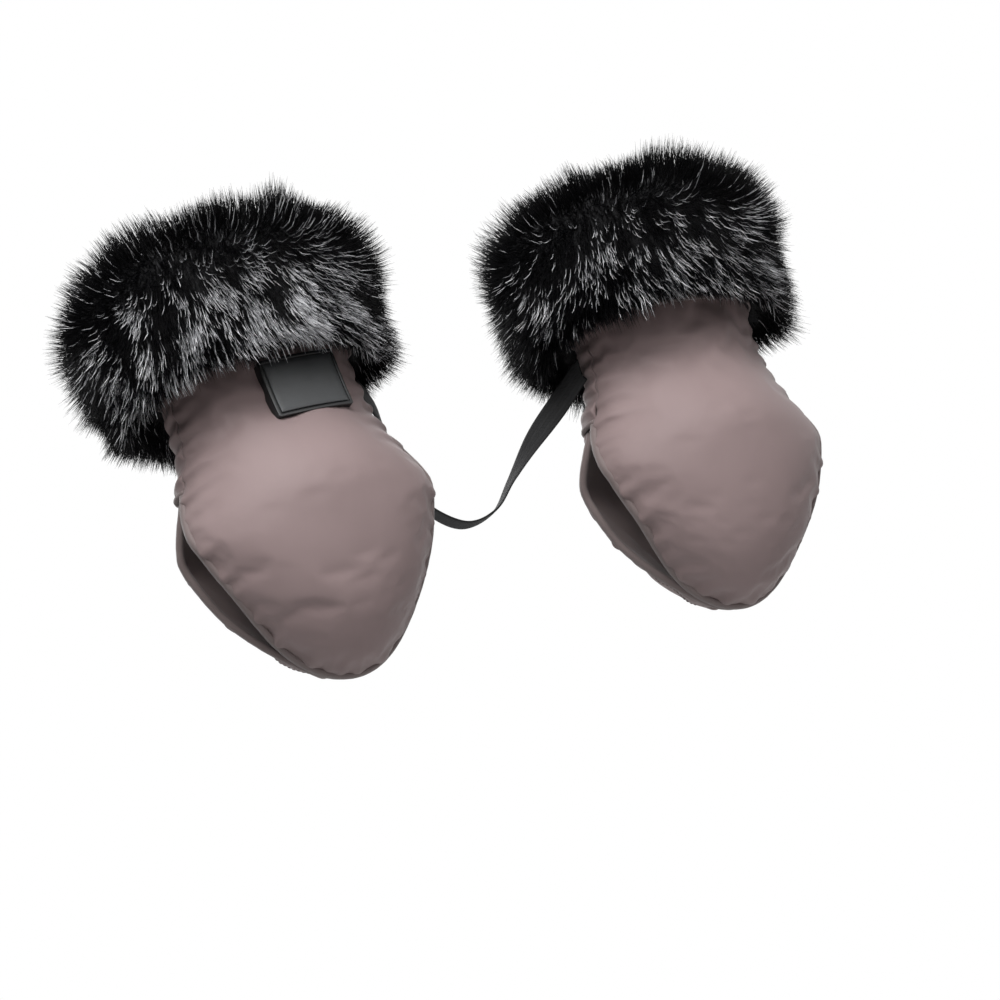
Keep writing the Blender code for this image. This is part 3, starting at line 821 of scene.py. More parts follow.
def back_point(across, up, depth):
    """A point of the wrist's back, which wraps round both sides to the front panel's seams."""
    z = mixed(SLOT_TOP, BODY_TOP, up)
    angle = mixed(pi + SEAM_ANGLE, -SEAM_ANGLE, (across + 1) / 2)
    bulge = mixed(PALM_DEPTH_BACK, WRIST_DEPTH, eased(z, PALM_HEIGHT, WRIST_HEIGHT))
    reach = (WRIST_DEPTH if sin(angle) < 0 else bulge) - depth
    width = half_width(z) - depth
    seam_shift = SEAM_GAP - depth * sin(SEAM_ANGLE) if sin(angle) < 0 else 0.0
    return Vector((width * cos(angle), reach * sin(angle) + seam_shift, z))


PANELS = {
    "front": (front_point, FRONT_GRID, (False, True), False),
    "back": (back_point, BACK_GRID, (False, False), True),
    "flap": (flap_point, FLAP_GRID, (True, True), True),
}


def loft(panel, across, up):
    """Thickness of the wadding: full in the middle, thin at the bound and folded edges."""
    thin_top, thin_bottom = PANELS[panel][2]
    inner = 1 - across**4
    if thin_bottom:
        inner *= min(1.0, up / (1 - BOTTOM_FULL_SHARE))
    if thin_top:
        inner *= min(1.0, (1 - up) / (1 - BOTTOM_FULL_SHARE))
    return mixed(LOFT_EDGE, LOFT_MID, max(0.0, inner))


def rim_of(columns, rows):
    """The border of a grid's points, in order round it."""
    wide = columns + 1
    rim = list(range(columns))
    rim += [row * wide + columns for row in range(rows)]
    rim += [rows * wide + column for column in range(columns, 0, -1)]
    return rim + [row * wide for row in range(rows, 0, -1)]


def between(name, near, far, columns, rows, reverse, size):
    """A closed mesh between two grids of places, the near one outside, with its cloth's size for the UV."""
    faces = grid_faces(columns, rows)
    if reverse:
        faces = [tuple(reversed(face)) for face in faces]
    count = len(near)
    rim = rim_of(columns, rows)
    faces += [tuple(v + count for v in reversed(face)) for face in faces]
    faces += [(a, a + count, b + count, b) for a, b in zip(rim, rim[1:] + rim[:1])]
    mesh = mesh_of(name, list(near) + list(far), faces)
    point_out(mesh)
    weave_uv(mesh, columns + 1, lambda row, column: (
        column / columns * size[0], row % (rows + 1) / rows * size[1],
    ))
    return mesh


def panel_mesh(side, panel, name, near, far):
    """A panel's closed mesh, from two grids of places in the muff's own frame."""
    _, (columns, rows), _, reverse = PANELS[panel]
    whole = muff_matrix(side)
    near, far = ([whole @ place for place in grid] for grid in (near, far))
    return between(name, near, far, columns, rows, reverse, (CLOTH_WIDTH, rows * CLOTH_ROW))


def grid_points(columns, rows):
    """Each point of a grid: its row and column, and its shares across (-1 to 1) and up (0 to 1)."""
    for row in range(rows + 1):
        for column in range(columns + 1):
            yield row, column, 2 * column / columns - 1, row / rows


def blown_up(places, faces, pinned, seed):
    """The places of a cloth held at its pinned borders, after its pad's filling has pushed it out."""
    noise.seed_set(NOISE_SEED)  # else noise_vector would change from run to run
    wild = [noise.noise_vector(p * 60 + Vector((seed * 3.1, 0, 0))) * 0.0002 for p in places]
    start = [p if index in pinned else p + w for index, (p, w) in enumerate(zip(places, wild))]
    sewn = placed("cloth", mesh_of("cloth", start, faces))
    sewn.vertex_groups.new(name="seam").add(sorted(pinned), 1.0, "REPLACE")
    cloth = sewn.modifiers.new("cloth", "CLOTH")
    for name, value in CLOTH_SETTINGS.items():
        setattr(cloth.settings, name, value)
    cloth.settings.vertex_group_mass = "seam"
    cloth.settings.effector_weights.gravity = 0.0
    cloth.collision_settings.use_collision = False
    cloth.point_cache.frame_start = 1
    cloth.point_cache.frame_end = PAD_FRAMES
    for number in range(1, PAD_FRAMES + 1):
        bpy.context.scene.frame_set(number)
    graph = bpy.context.evaluated_depsgraph_get()
    mesh = bpy.data.meshes.new_from_object(sewn.evaluated_get(graph))
    moves = [vert.co - place for vert, place in zip(mesh.vertices, places)]
    dropped(sewn)
    bpy.data.meshes.remove(mesh)
    bpy.context.scene.frame_set(1)
    capped = [move * min(1.0, PAD_LIMIT / max(move.length, PAD_LIMIT)) for move in moves]
    return [p if index in pinned else p + move for index, (p, move) in enumerate(zip(places, capped))]


def puckers(reach, along, gather, seed):
    """How deep the seam's puckers are at a distance from it. gather is 1, or more at the waist."""
    ridge = noise.noise(Vector((along * PUCKER_RATE, reach * 22, seed * 5.3)))
    fine = noise.noise(Vector((along * PUCKER_RATE * 2.3, reach * 40, seed * 7.9)))
    drift = noise.noise(Vector((reach * 30, along * 25, seed * 3.7)))
    wave = sin(along * WAIST_RATE + 2.4 * drift)
    fold = max(ridge + 0.45 * fine + (gather - 1) * wave, PUCKER_FLOOR)
    return PUCKER_HEIGHT * fold * (1 - eased(reach, 0.0, PUCKER_REACH * gather))


def padded_panel(side, panel, material):
    """One puffy panel: outer cloth blown up between its seams, closed by the wadding's inner side."""
    place, (columns, rows), _, reverse = PANELS[panel]
    seed = 1 + SIDES[side] + 3 * len(panel)
    outer, inner, pinned, seam_shade = [], [], set(), []
    wide_step = 2 * PALM_HALF_WIDTH / columns
    for row, column, across, up in grid_points(columns, rows):
        here = place(across, up, 0.0)
        beside = min(column, columns - column) * wide_step
        ends = min((here - place(across, end, 0.0)).length for end in (0.0, 1.0))
        gap = min(beside, ends)
        waist = 1 + WAIST_GATHER * eased(here.z, *WAIST_BELOW) * (1 - eased(here.z, *WAIST_ABOVE))
        pucker = puckers(beside, here.z, waist, seed) + puckers(ends, here.x, 1.0, seed)
        soft = mixed(SEAM_SINK, PAD_START, eased(gap, 0.0, SEAM_REACH))
        outer.append(place(across, up, soft - pucker))
        rim_shift = -0.7 * pucker * (1 - eased(gap, 0.0, wide_step))
        wall = SHELL_THICKNESS + LAYER_GAP + loft(panel, across, up)
        inner.append(place(across, up, wall + max(rim_shift, 0.0)))
        # painted shade: 1 at a seam, falling to 0 further in, darkens the cloth near its seams
        seam_shade.append(1 - eased(gap, 0.0, 2 * SEAM_REACH))
        if row in (0, rows) or column in (0, columns):
            pinned.add(len(outer) - 1)
    faces = grid_faces(columns, rows)
    faces = [tuple(reversed(face)) for face in faces] if reverse else faces
    outer = blown_up(outer, faces, pinned, seed)
    name = f"{side}_{panel}_pad"
    mesh = panel_mesh(side, panel, name, outer, inner)
    stored(mesh, "seam", seam_shade * 2)
    pad = new_piece(name, mesh, material)
    rounded(pad)
    settle(pad, side, panel)
    stands_for(pad, "taupe_shell", f"{side}_{panel}_shell", f"{side}_{panel}_wadding")
    return pad


def quilted_lining(side, panel, material):
    """A lining just inside a padded panel, quilted in diamonds."""
    place, (columns, rows), _, _ = PANELS[panel]
    near, far = [], []
    for _, _, across, up in grid_points(columns, rows):
        depth = SHELL_THICKNESS + 2 * LAYER_GAP + loft(panel, across, up)
        length = up * rows / columns
        a, b = (sin((across / 2 + way * length) * QUILT_CELLS * pi) for way in (1, -1))
        edge = (1 - across**8) * min(1.0, 8 * up, 8 * (1 - up))
        puff = QUILT_PUFF * sqrt(abs(a * b)) * edge
        near.append(place(across, up, depth))
        far.append(place(across, up, depth + LINING_THICKNESS + puff))
    name = f"{side}_{panel}_quilting"
    piece = new_piece(name, panel_mesh(side, panel, name, near, far), material)
    settle(piece, side, panel)
    stands_for(piece, "taupe_lining", f"{side}_{panel}_lining")


def rounded(piece):
    """Rounds a piece with a Subdivision Surface."""
    modifier = piece.modifiers.new("rounding", "SUBSURF")
    modifier.levels = modifier.render_levels = 1


def settle(piece, side, panel):
    """A panel's piece moves with its muff, or, for the flap, has its place baked into its mesh."""
    if panel != "flap":
        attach(piece, f"{side}_muff")
        return
    hinge = Vector((0.0, flap_point(0.0, 1.0, 0.0).y, SLOT_TOP))
    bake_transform(piece)


# ---- trims


def binding_route(panel, sign, rows=44, columns=56):
    """Centre line of a binding: down one free edge, round the bottom and up the other."""
    place = PANELS[panel][0]
    depth = EDGE_THICKNESS / 2
    top = SLOT_TOP - BINDING_RADIUS
    side = [place(1.0, 1 - step / rows, depth) for step in range(rows)]
    half = [point for point in side if point.z < top]
    half += [place(1 - 2 * step / columns, 0.0, depth) for step in range(columns // 2 + 1)]
    whole = half + [Vector((-p.x, p.y, p.z)) for p in reversed(half[:-1])]
    seat = Vector((0.0, sign * (BINDING_RADIUS + BINDING_SEAT_GAP), 0.0))
    return [point - seat for point in whole]


def moved(mesh, matrix):
    """A mesh put in its place, its faces outwards."""
    mesh.transform(matrix)
    point_out(mesh)
    return mesh


def rod(side, name, rings, girth, pitch):
    """A closed rod through rings of places, put where its muff is. Its cloth's weave runs along it."""
    turns = len(rings[0])
    mesh = mesh_of(name, [place for ring in rings for place in ring], rod_faces(turns, len(rings)))
    weave_uv(mesh, turns, lambda step, turn: (turn / turns * girth, step * pitch))
    return moved(mesh, muff_matrix(side))


def binding(side, panel, sign, material):
    """The tape folded over a panel's free edge, its section in (outwards, along Y)."""
    section = []
    for step in range(BINDING_TURNS):
        turn = 2 * pi * step / BINDING_TURNS
        wrap = EDGE_WRAP * sqrt(max(0.0, sign * sin(turn)))
        across = 1.12 * BINDING_RADIUS * sin(turn) * (1 - 0.12 * cos(turn)) + sign * wrap
        section.append((BINDING_RADIUS * cos(turn), across))
    route = binding_route(panel, sign)
    rings = []
    for index, here in enumerate(route):
        along = (route[min(index + 1, len(route) - 1)] - route[max(index - 1, 0)]).normalized()
        beside = along.cross(Vector((0.0, 1.0, 0.0))).normalized()
        wobble = 1 + 0.07 * noise.noise(here * 260 + Vector((SIDES[side] * 4.0 + sign, 0, 0)))
        rings.append([here + beside * a * wobble + Vector((0.0, b * wobble, 0.0)) for a, b in section])
    name = f"{side}_{panel}_edge_tape"
    piece = new_piece(name, rod(side, name, rings, 0.014, 0.004), material)
    settle(piece, side, panel)
    stands_for(piece, "taupe_binding", f"{side}_{panel}_binding")


def seam_cord(side, material):
    """The corded seam along the back's lower edge, which closes the tops of both slots."""
    rings = []
    for step in range(SEAM_CORD_STEPS + 1):
        across = mixed(-0.99, 0.99, step / SEAM_CORD_STEPS)
        here = back_point(across, 0.0, SEAM_CORD_DEPTH) - Vector((0.0, 0.0, SEAM_CORD_DROP))
        outwards = (back_point(across, 0.0, 0.0) - back_point(across, 0.0, 0.01)).normalized()
        radius = SEAM_CORD_RADIUS * (1 + 0.05 * noise.noise(here * 240))
        ring = []
        for turn in range(SEAM_CORD_TURNS):
            angle = 2 * pi * turn / SEAM_CORD_TURNS
            ring.append(here + outwards * radius * cos(angle) + Vector((0.0, 0.0, radius * sin(angle))))
        rings.append(ring)
    name = f"{side}_back_seam_cord"
    piece = new_piece(name, rod(side, name, rings, 0.011, 0.0022), material, f"{side}_muff")
    stands_for(piece, "taupe_binding")


def stitch_tree(material):
    """A row of stitches along a line of edges."""
    tree, given = new_tree("stitch_row", ("Pitch", "Stitch length", "Thread radius"))
    line = out(node(tree, "GeometryNodeMeshToCurve", {"Mesh": given["Geometry"]}))
    places = {"Curve": line, "Length": given["Pitch"]}
    places = out(node(tree, "GeometryNodeResampleCurve", places, mode="LENGTH"))
    bead = node(tree, "GeometryNodeMeshUVSphere", {"Segments": 6, "Rings": 5, "Radius": 1.0})
    size = node(tree, "ShaderNodeCombineXYZ", {
        "X": given["Thread radius"],
        "Y": given["Thread radius"],
        "Z": maths(tree, "DIVIDE", given["Stitch length"], 2.0),
    })
    bead = out(node(tree, "GeometryNodeTransform", {"Geometry": bead.outputs["Mesh"], "Scale": out(size)}))
    tangent = out(node(tree, "GeometryNodeInputTangent"))
    turn = node(tree, "FunctionNodeAlignRotationToVector", {"Vector": tangent}, axis="Z")
    row = {"Points": places, "Instance": bead, "Rotation": out(turn)}
    row = node(tree, "GeometryNodeInstanceOnPoints", row)
    return end_tree(tree, out(row), material)


def stitches(name, routes, tree, thread):
    """Rows of stitches along routes, as one piece."""
    places, edges = [], []
    for route in routes:
        first = len(places)
        places += [tuple(p) for p in route]
        edges += [(first + step, first + step + 1) for step in range(len(route) - 1)]
    line = bpy.data.meshes.new("rows")
    line.from_pydata(places, edges, [])
    sizes = {"Pitch": STITCH_PITCH, "Stitch length": STITCH_PITCH * 0.72, "Thread radius": THREAD_RADIUS}
    return new_piece(name, grown(placed("rows", line), tree, sizes, name), thread)


def on_cloth(tree, route, away):
    """A route laid on the cloth of a search tree, each point moved along its own direction."""
    laid = []
    for point, direction in zip(route, away):
        hit = tree.ray_cast(point + direction * SEARCH_REACH, -direction, 2 * SEARCH_REACH)[0]
        if hit is not None:
            laid.append(hit + direction * STITCH_LIFT)
    return laid


def cloth_search(piece):
    """A search tree of a finished piece's surface."""
    return BVHTree.FromObject(piece, bpy.context.evaluated_depsgraph_get())


def flap_topstitch(side, pad, tree, thread):
    """Two rows of stitches round the flap's free edge, just inside its binding."""
    whole = muff_matrix(side)
    turn = whole.to_3x3()
    search = cloth_search(pad)
    routes = []
    for inset in TOPSTITCH_INSETS:
        points, away = [], []
        for step in range(TOPSTITCH_STEPS + 1):
            across = mixed(1 - inset, inset - 1, step / TOPSTITCH_STEPS)
            point = flap_point(across, 0.05 + inset, 0.0)
            lean = flap_point(across, 0.05 + inset, 0.01)
            points.append(whole @ point)
            away.append(turn @ (point - lean + Vector((0.0, 0.004, 0.0))).normalized())
        routes.append(on_cloth(search, points, away))
    row = stitches(f"{side}_flap_topstitch", routes, tree, thread)
    settle(row, side, "flap")
    stands_for(row, "taupe_binding")


def ring_piece(name, section, side, material, gathers, depth):
    """A gathered ring of cloth round the wrist. section holds (distance, height, hang, gathered)."""
    whole = muff_matrix(side)
    places = []
    for distance, height, hang, gathered in section:
        for column in range(RING_COLUMNS):
            angle = 2 * pi * column / RING_COLUMNS
            drift = noise.noise(Vector((3 * cos(angle), 3 * sin(angle), height * 30)))
            fold = 0.5 + 0.5 * sin(angle * gathers + 1.6 * drift)
            places.append(whole @ ring_place(angle, distance - gathered * depth * fold, height, hang)[0])
    mesh = mesh_of(name, places, hoop_faces(RING_COLUMNS, len(section)))
    weave_uv(mesh, RING_COLUMNS, lambda row, column: (column * 0.0018, section[row][1]))
    point_out(mesh)
    return new_piece(name, mesh, material, f"{side}_muff")


def wrist_rings(side, tape_cloth, lining):
    """The tape over the seam of fur and cloth, and the gathered sleeve inside the fur."""
    near, far = TAPE_SEAT_GAP, TAPE_SEAT_GAP + TAPE_THICKNESS
    heights = [BODY_TOP - TAPE_HEIGHT + TAPE_HEIGHT * step / 4 for step in range(5)]
    section = [(near, z, 0.0, 0.0) for z in heights] + [(far, z, 0.0, 0.25) for z in reversed(heights)]
    tape = ring_piece(f"{side}_seam_tape", section, side, tape_cloth, 46, 0.0010)
    stands_for(tape, "taupe_binding", f"{side}_cuff_tape")
    outer = -CUFF_IN - FIT_GAP
    inner = outer - SLEEVE_THICKNESS
    low, high = BODY_TOP + FIT_GAP, CUFF_TOP - SLEEVE_TOP_DROP
    shares = [step / 12 for step in range(13)]
    section = [(outer, mixed(low, high, share), share, 0.0) for share in shares]
    section += [(inner, mixed(low, high, share), share, 0.3 + 0.7 * share) for share in reversed(shares)]
    sleeve = ring_piece(f"{side}_gathered_sleeve", section, side, lining, 34, 0.0012)
    stands_for(sleeve, "taupe_lining", f"{side}_cuff_sleeve")


def stud_places():
    """(x, z) of the three press studs, following the flap's rounded bottom."""
    depth = PLACKET_RIM + STUD_CAP_RADIUS + STUD_RIM_GAP
    seats = [flap_point(across, 0.0, depth) for across in (-1 / 3, 0.0, 1 / 3)]
    return [(seat.x, seat.z) for seat in seats]


def placket(side, panel, sign, material):
    """The crescent of facing behind a bottom edge that holds the press studs."""
    place = PANELS[panel][0]
    columns, rows = 40, 8
    near, far = [], []
    for row, column, across, up in grid_points(columns, rows):
        foot = place(across / 2, 0.0, PLACKET_RIM)
        z = mixed(foot.z, PLACKET_TOP, up)
        ripple = 0.00012 * noise.noise(Vector((foot.x * 90, z * 90, sign)))
        border = 0.75 if row in (0, rows) or column in (0, columns) else 1.0
        half = border * PLACKET_THICKNESS / 2 + ripple
        near.append(Vector((foot.x, sign * (PLACKET_OFFSET + half), z)))
        far.append(Vector((foot.x, sign * (PLACKET_OFFSET - half), z)))
    name = f"{side}_{panel}_facing"
    mesh = moved(between(name, near, far, columns, rows, sign > 0, (0.08, 0.03)), muff_matrix(side))
    piece = new_piece(name, mesh, material, f"{side}_muff" if sign < 0 else f"{side}_flap")
    stands_for(piece, "taupe_binding", f"{side}_{panel}_placket")


def softened(profile, cut):
    """A profile with its corners cut."""
    made = [profile[0]]
    for before, here, after in zip(profile, profile[1:], profile[2:]):
        for other in (before, after):
            gap = sqrt((other[0] - here[0]) ** 2 + (other[1] - here[1]) ** 2)
            share = min(0.35, cut / gap)
            made.append((mixed(here[0], other[0], share), mixed(here[1], other[1], share)))
    return made + [profile[-1]]


def popper(name, profile, place, facing, body, material):
    """One half of a press stud, turned from its profile."""
    rings = softened(profile, 0.00022)
    places = [Vector((0.0, 0.0, rings[0][1]))]
    for radius, height in rings[1:-1]:
        for step in range(STUD_TURNS):
            angle = 2 * pi * step / STUD_TURNS
            places.append(Vector((radius * cos(angle), radius * sin(angle), height)))
    foot = len(places)
    places.append(Vector((0.0, 0.0, rings[-1][1])))
    faces = [(0, 1 + step, 1 + (step + 1) % STUD_TURNS) for step in range(STUD_TURNS)]
    faces += [tuple(1 + v for v in face) for face in grid_faces(STUD_TURNS, len(rings) - 3, closed=True)]
    last = foot - STUD_TURNS
    faces += [(foot, last + (step + 1) % STUD_TURNS, last + step) for step in range(STUD_TURNS)]
    mesh = mesh_of(name, places, faces)
    mesh.set_sharp_from_angle(angle=radians(50))
    turn = Matrix.Rotation(-facing * pi / 2, 4, "X")
    return new_piece(name, moved(mesh, place @ turn), material, body)


def poppers(side, metal):
    """The three press studs that close the bottom, each in two halves."""
    half = PLACKET_THICKNESS / 2 + FIT_GAP
    base_top = half + STUD_BASE_THICKNESS
    low = [
        (STUD_BASE_RADIUS, half),
        (STUD_SHANK_RADIUS, half),
        (STUD_SHANK_RADIUS, -half),
        (STUD_CAP_RADIUS, -half),
        (STUD_CAP_RADIUS, -half - STUD_CAP_THICKNESS),
        (STUD_CAP_RADIUS * 0.72, -half - STUD_CAP_THICKNESS * 1.25),
        (0.0, -half - STUD_CAP_THICKNESS * 1.25),
    ]
    knob = [
        (0.0, base_top + STUD_BOSS_HEIGHT),
        (STUD_BOSS_RADIUS * 0.8, base_top + STUD_BOSS_HEIGHT),
        (STUD_BOSS_RADIUS, base_top + STUD_BOSS_HEIGHT * 0.7),
        (STUD_BOSS_RADIUS * 0.85, base_top),
        (STUD_BASE_RADIUS, base_top),
    ]
    rim_top = 2 * PLACKET_OFFSET - base_top - FIT_GAP
    recess = STUD_BOSS_RADIUS + SOCKET_CLEARANCE
    floor = 2 * PLACKET_OFFSET - base_top - STUD_BOSS_HEIGHT - SOCKET_FLOOR
    cup = [(0.0, floor), (recess, floor), (recess, rim_top), (STUD_BASE_RADIUS, rim_top)]
    halves = (("knob", "stud", knob, -1, "muff"), ("cup", "socket", cup, 1, "flap"))
    for number, (x, z) in enumerate(stud_places(), start=1):
        for kind, cad, top, sign, body in halves:
            place = muff_matrix(side) @ Matrix.Translation((x, sign * PLACKET_OFFSET, z))
            name = f"{side}_popper_{kind}_{number}"
            piece = popper(name, top + low, place, -sign, f"{side}_{body}", metal)
            stands_for(piece, "nickel_stud", f"{side}_{cad}_{number}")


# ---- label and strap


def rounded_outline(width, height, radius, corner_steps=5, side_steps=6):
    """Points round a rectangle with rounded corners."""
    corners = []
    for across, up, begin in ((1, -1, -pi / 2), (1, 1, 0.0), (-1, 1, pi / 2), (-1, -1, pi)):
        centre = Vector((across * (width / 2 - radius), up * (height / 2 - radius)))
        angles = [begin + pi / 2 * step / corner_steps for step in range(corner_steps + 1)]
        corners.append([centre + Vector((cos(angle), sin(angle))) * radius for angle in angles])
    points = []
    for corner, following in zip(corners, corners[1:] + corners[:1]):
        points += corner
        points += [corner[-1].lerp(following[0], step / side_steps) for step in range(1, side_steps)]
    return points


def label(pad, rubber, face_rubber):
    """The moulded rubber label on the left muff: a bordered base and a bare face set in it."""
    mount = next(m for m in frame["record"]["mounts"] if m["name"] == "label_face")
    normal = Vector(mount["axis"]).normalized()
    upright = muff_matrix("left").to_3x3() @ Vector((0.0, 0.0, 1.0))
    up = (upright - normal * normal.dot(upright)).normalized()
    axes = Matrix((up.cross(normal), up, normal)).transposed()
    seat = Vector(mount["pos_m"]) + axes @ Vector((LABEL_SHIFT, 0.0, 0.0))
    search = cloth_search(pad)
    rows, heights = [], []
    for i in range(-6, 7):
        for j in range(-6, 7):
            x, y = i / 12 * LABEL_WIDTH, j / 12 * LABEL_HEIGHT
            place = seat + axes @ Vector((x, y, 0.0))
            distance = search.ray_cast(place + normal * SEARCH_REACH, -normal)[3]
            rows.append((1.0, x, y, x * x, x * y, y * y))
            heights.append(SEARCH_REACH - distance)
    fit = np.linalg.lstsq(np.array(rows), np.array(heights), rcond=None)[0]

    def surface(point, bend):
        flat = fit[0] + fit[1] * point.x + fit[2] * point.y
        return flat + bend * (fit[3] * point.x**2 + fit[4] * point.x * point.y + fit[5] * point.y**2)

    def moulded(name, loops, material, cad_name):
        rings = []
        for inset, lift, bend in loops:
            inset = min(inset, LABEL_HEIGHT / 2 - 0.0008)
            size = (LABEL_WIDTH - 2 * inset, LABEL_HEIGHT - 2 * inset)
            outline = rounded_outline(*size, max(0.0003, 0.0014 - inset / 2))
            rings.append([seat + axes @ Vector((p.x, p.y, surface(p, bend) + lift)) for p in outline])
        places = [place for ring in rings for place in ring]
        turns, last = len(rings[0]), len(places) - len(rings[0])
        faces = grid_faces(turns, len(rings) - 1, closed=True)
        faces += [tuple(range(last, last + turns)), tuple(reversed(range(turns)))]
        mesh = mesh_of(name, places, faces)
        mesh.set_sharp_from_angle(angle=radians(55))
        point_out(mesh)
        stands_for(new_piece(name, mesh, material, "left_muff"), "grey_rubber", cad_name)

    top = LABEL_THICKNESS + LABEL_STAND
    skirt = [(0.0006, -0.0008, 1.0), (0.0, -0.0004, 1.0)]
    border = [
        (0.0, -0.0004), (0.0001, -0.0001), (0.0004, 0.0), (0.0016, 0.0), (0.0018, -0.0001),
        (0.0019, -0.0006), (0.0027, -0.0007), (0.006, -0.0007), (0.012, -0.0007),
    ]
    face = [
        (0.006, -0.0006), (0.0026, -0.0006), (0.0025, -0.0001), (0.0026, 0.00015), (0.0030, 0.0003),
        (0.006, 0.00035), (0.010, 0.00035), (0.014, 0.00035), (0.0172, 0.00035),
    ]
    border, face = ([(inset, top + rise, LABEL_BEND) for inset, rise in loops] for loops in (border, face))
    moulded("label_rubber", skirt + border, rubber, "label_base")
    moulded("label_face_plate", face, face_rubber, "label_plate")


def link_strap(webbing):
    """Flat webbing between the two inner seams, turned flat at the bottom of its sag."""
    frames = [muff_matrix(side) for side in SIDES]
    seam_x = half_width(STRAP_END_HEIGHT) + STRAP_SEAT_GAP
    start = frames[0] @ Vector((seam_x, 0.0, STRAP_END_HEIGHT))
    end = frames[1] @ Vector((-seam_x, 0.0, STRAP_END_HEIGHT))
    uprights = [place.to_3x3() @ Vector((0.0, 0.0, 1.0)) for place in frames]
    route = [start, *map(Vector, STRAP_ROUTE), end]
    upper, lower, middle = [], [], []
    for step in range(STRAP_STEPS + 1):
        share = step / STRAP_STEPS
        centre = curve_through(route, share)
        turn = eased(abs(2 * share - 1), *STRAP_TURN_SHARES)
        upright = uprights[0] if share < 1 / 2 else uprights[1]
        wide = Vector((0.0, 1 - turn, 0.0)) + upright * turn
        before, after = max(0.0, share - 1 / 56), min(1.0, share + 1 / 56)
        along = curve_through(route, after) - curve_through(route, before)
        if 0 < step < STRAP_STEPS:
            wide -= along * (wide.dot(along) / along.length_squared)
        wide.normalize()
        thick = along.cross(wide).normalized()
        middle.append(tuple(centre))
        for column in range(STRAP_COLUMNS + 1):
            offset = column / STRAP_COLUMNS - 0.5
            edge = 1 - (2 * abs(offset)) ** 6 * 0.55
            at = centre + wide * (offset * STRAP_WIDTH)
            upper.append(at + thick * (edge * STRAP_THICKNESS / 2))
            lower.append(at - thick * (edge * STRAP_THICKNESS / 2))
    size = (STRAP_WIDTH, STRAP_LENGTH)
    mesh = between("webbing_strap", upper, lower, STRAP_COLUMNS, STRAP_STEPS, False, size)
    strap = new_piece("webbing_strap", mesh, webbing)
    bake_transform(strap)
    stands_for(strap, "black_webbing", "link_strap")


# ---- stage


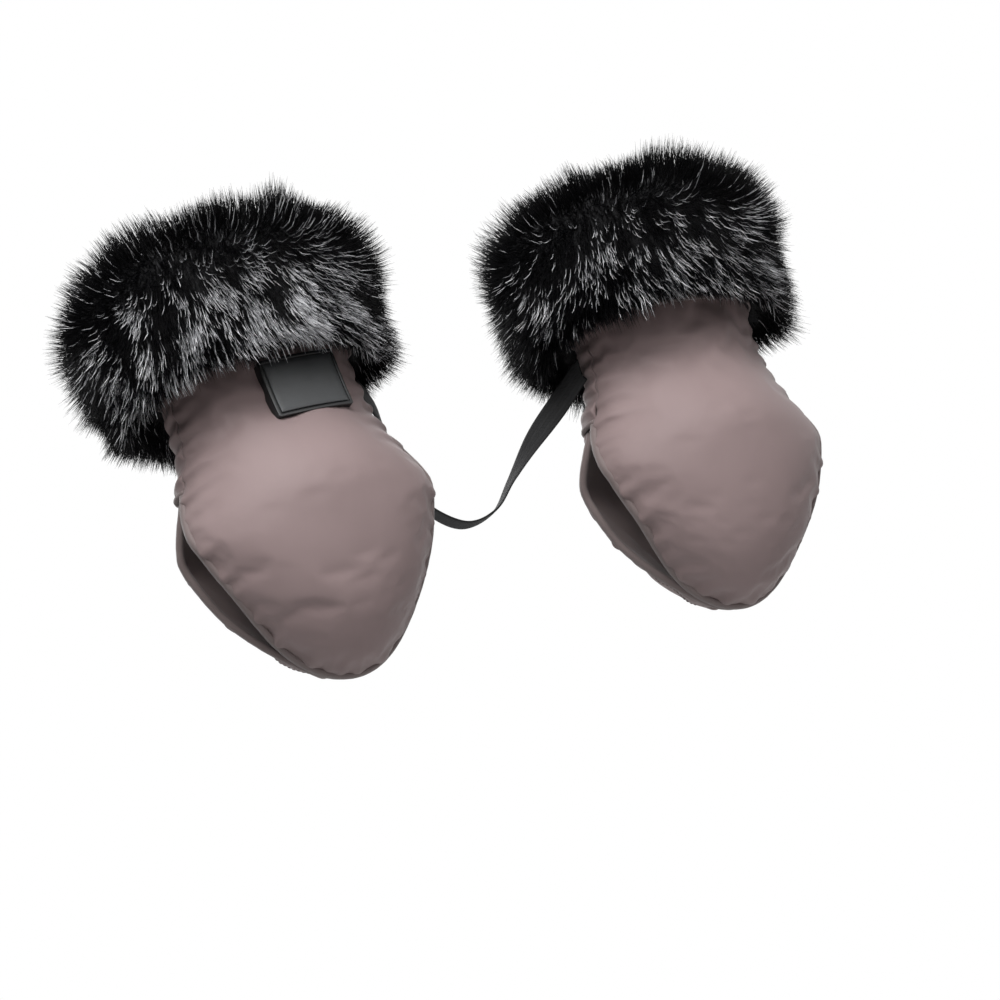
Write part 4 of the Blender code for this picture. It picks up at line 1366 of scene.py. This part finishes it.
def stage():
    """A pale floor below the muffs, a white surround, soft lamps and the camera."""

    def seen_directly(tree):
        path = node(tree, "ShaderNodeLightPath").outputs
        mirrored = maths(tree, "MAXIMUM", path["Is Glossy Ray"], path["Is Transmission Ray"])
        return maths(tree, "MAXIMUM", path["Is Camera Ray"], mirrored)

    white = (1.0, 1.0, 1.0, 1.0)
    corners = [(across * FLOOR_REACH, along * FLOOR_REACH, FLOOR_HEIGHT)
               for across, along in ((-1, -1), (1, -1), (1, 1), (-1, 1))]
    pale, tree, shader = finish("pale_floor")
    connect(tree, shader, {
        "Base Color": (0.86, 0.86, 0.86, 1.0),
        "Roughness": 0.9,
        "Emission Color": white,
        "Emission Strength": times(tree, seen_directly(tree), FLOOR_GLOW),
    })
    new_piece("floor", mesh_of("floor", corners, [(0, 1, 2, 3)]), pale)

    world = bpy.data.worlds.new("studio")
    world.use_nodes = True
    tree = world.node_tree
    strength = spread(tree, seen_directly(tree), WORLD_LIGHT, 1.0)
    connect(tree, tree.nodes["Background"], {"Color": white, "Strength": strength})
    bpy.context.scene.world = world

    for name, place, size, power in LAMPS:
        data = bpy.data.lights.new(name, "AREA")
        data.size = size
        data.energy = power
        lamp = placed(name, data)
        lamp.location = place
        lamp.rotation_euler = (CAMERA_AIM - Vector(place)).to_track_quat("-Z", "Y").to_euler()

    data = bpy.data.cameras.new("camera")
    data.lens = CAMERA_LENS
    data.sensor_width = 36.0
    data.shift_x, data.shift_y = CAMERA_SHIFT
    data.clip_start = 0.05
    away = Vector((
        sin(CAMERA_AZIMUTH) * cos(CAMERA_ELEVATION),
        -cos(CAMERA_AZIMUTH) * cos(CAMERA_ELEVATION),
        sin(CAMERA_ELEVATION),
    ))
    camera = placed("camera", data)
    look = (-away).to_track_quat("-Z", "Y").to_matrix() @ Matrix.Rotation(-CAMERA_ROLL, 3, "Z")
    camera.matrix_world = Matrix.Translation(CAMERA_AIM + away * CAMERA_DISTANCE) @ look.to_4x4()
    bpy.context.scene.camera = camera
    bpy.context.scene.view_settings.view_transform = "Standard"


stage()
fur = fur_finish()
undercoat = undercoat_finish()
pile = pile_tree(fur)
shell = cloth_finish("taupe_satin", (0.30, 0.224, 0.222), (0.21, 0.156, 0.153), 0.50, 0.0006, 0.12)
# painted shade: the lining is the shell's taupe satin, made a little darker for the shade inside the muff
lining = cloth_finish("quilted_lining", (0.22, 0.172, 0.168), (0.15, 0.115, 0.11), 0.6, 0.0009, 0.2)
tape_cloth = cloth_finish("edge_tape", (0.20, 0.16, 0.155), (0.13, 0.10, 0.097), 0.6, 0.0008, 0.3)
thread = cloth_finish("sewing_thread", (0.17, 0.135, 0.13), (0.11, 0.085, 0.08), 0.5, 0.0004, 0.3)
rubber = rubber_finish("label_black_rubber", (0.006, 0.0063, 0.007), 0.33)
face_rubber = rubber_finish("label_grey_rubber", (0.046, 0.049, 0.052), 0.42)
nickel = nickel_finish()
webbing = webbing_finish()
seams = stitch_tree(thread)
for side_name in SIDES:
    front_pad = padded_panel(side_name, "front", shell)
    padded_panel(side_name, "back", shell)
    flap_pad = padded_panel(side_name, "flap", shell)
    for panel_name in PANELS:
        quilted_lining(side_name, panel_name, lining)
    for panel_name, facing in (("front", -1), ("flap", 1)):
        binding(side_name, panel_name, facing, tape_cloth)
        placket(side_name, panel_name, facing, tape_cloth)
    flap_topstitch(side_name, flap_pad, seams, thread)
    poppers(side_name, nickel)
    seam_cord(side_name, tape_cloth)
    wrist_rings(side_name, tape_cloth, lining)
    fur_cuff(side_name, pile, fur, undercoat)
    if side_name == "left":
        label(front_pad, rubber, face_rubber)
link_strap(webbing)
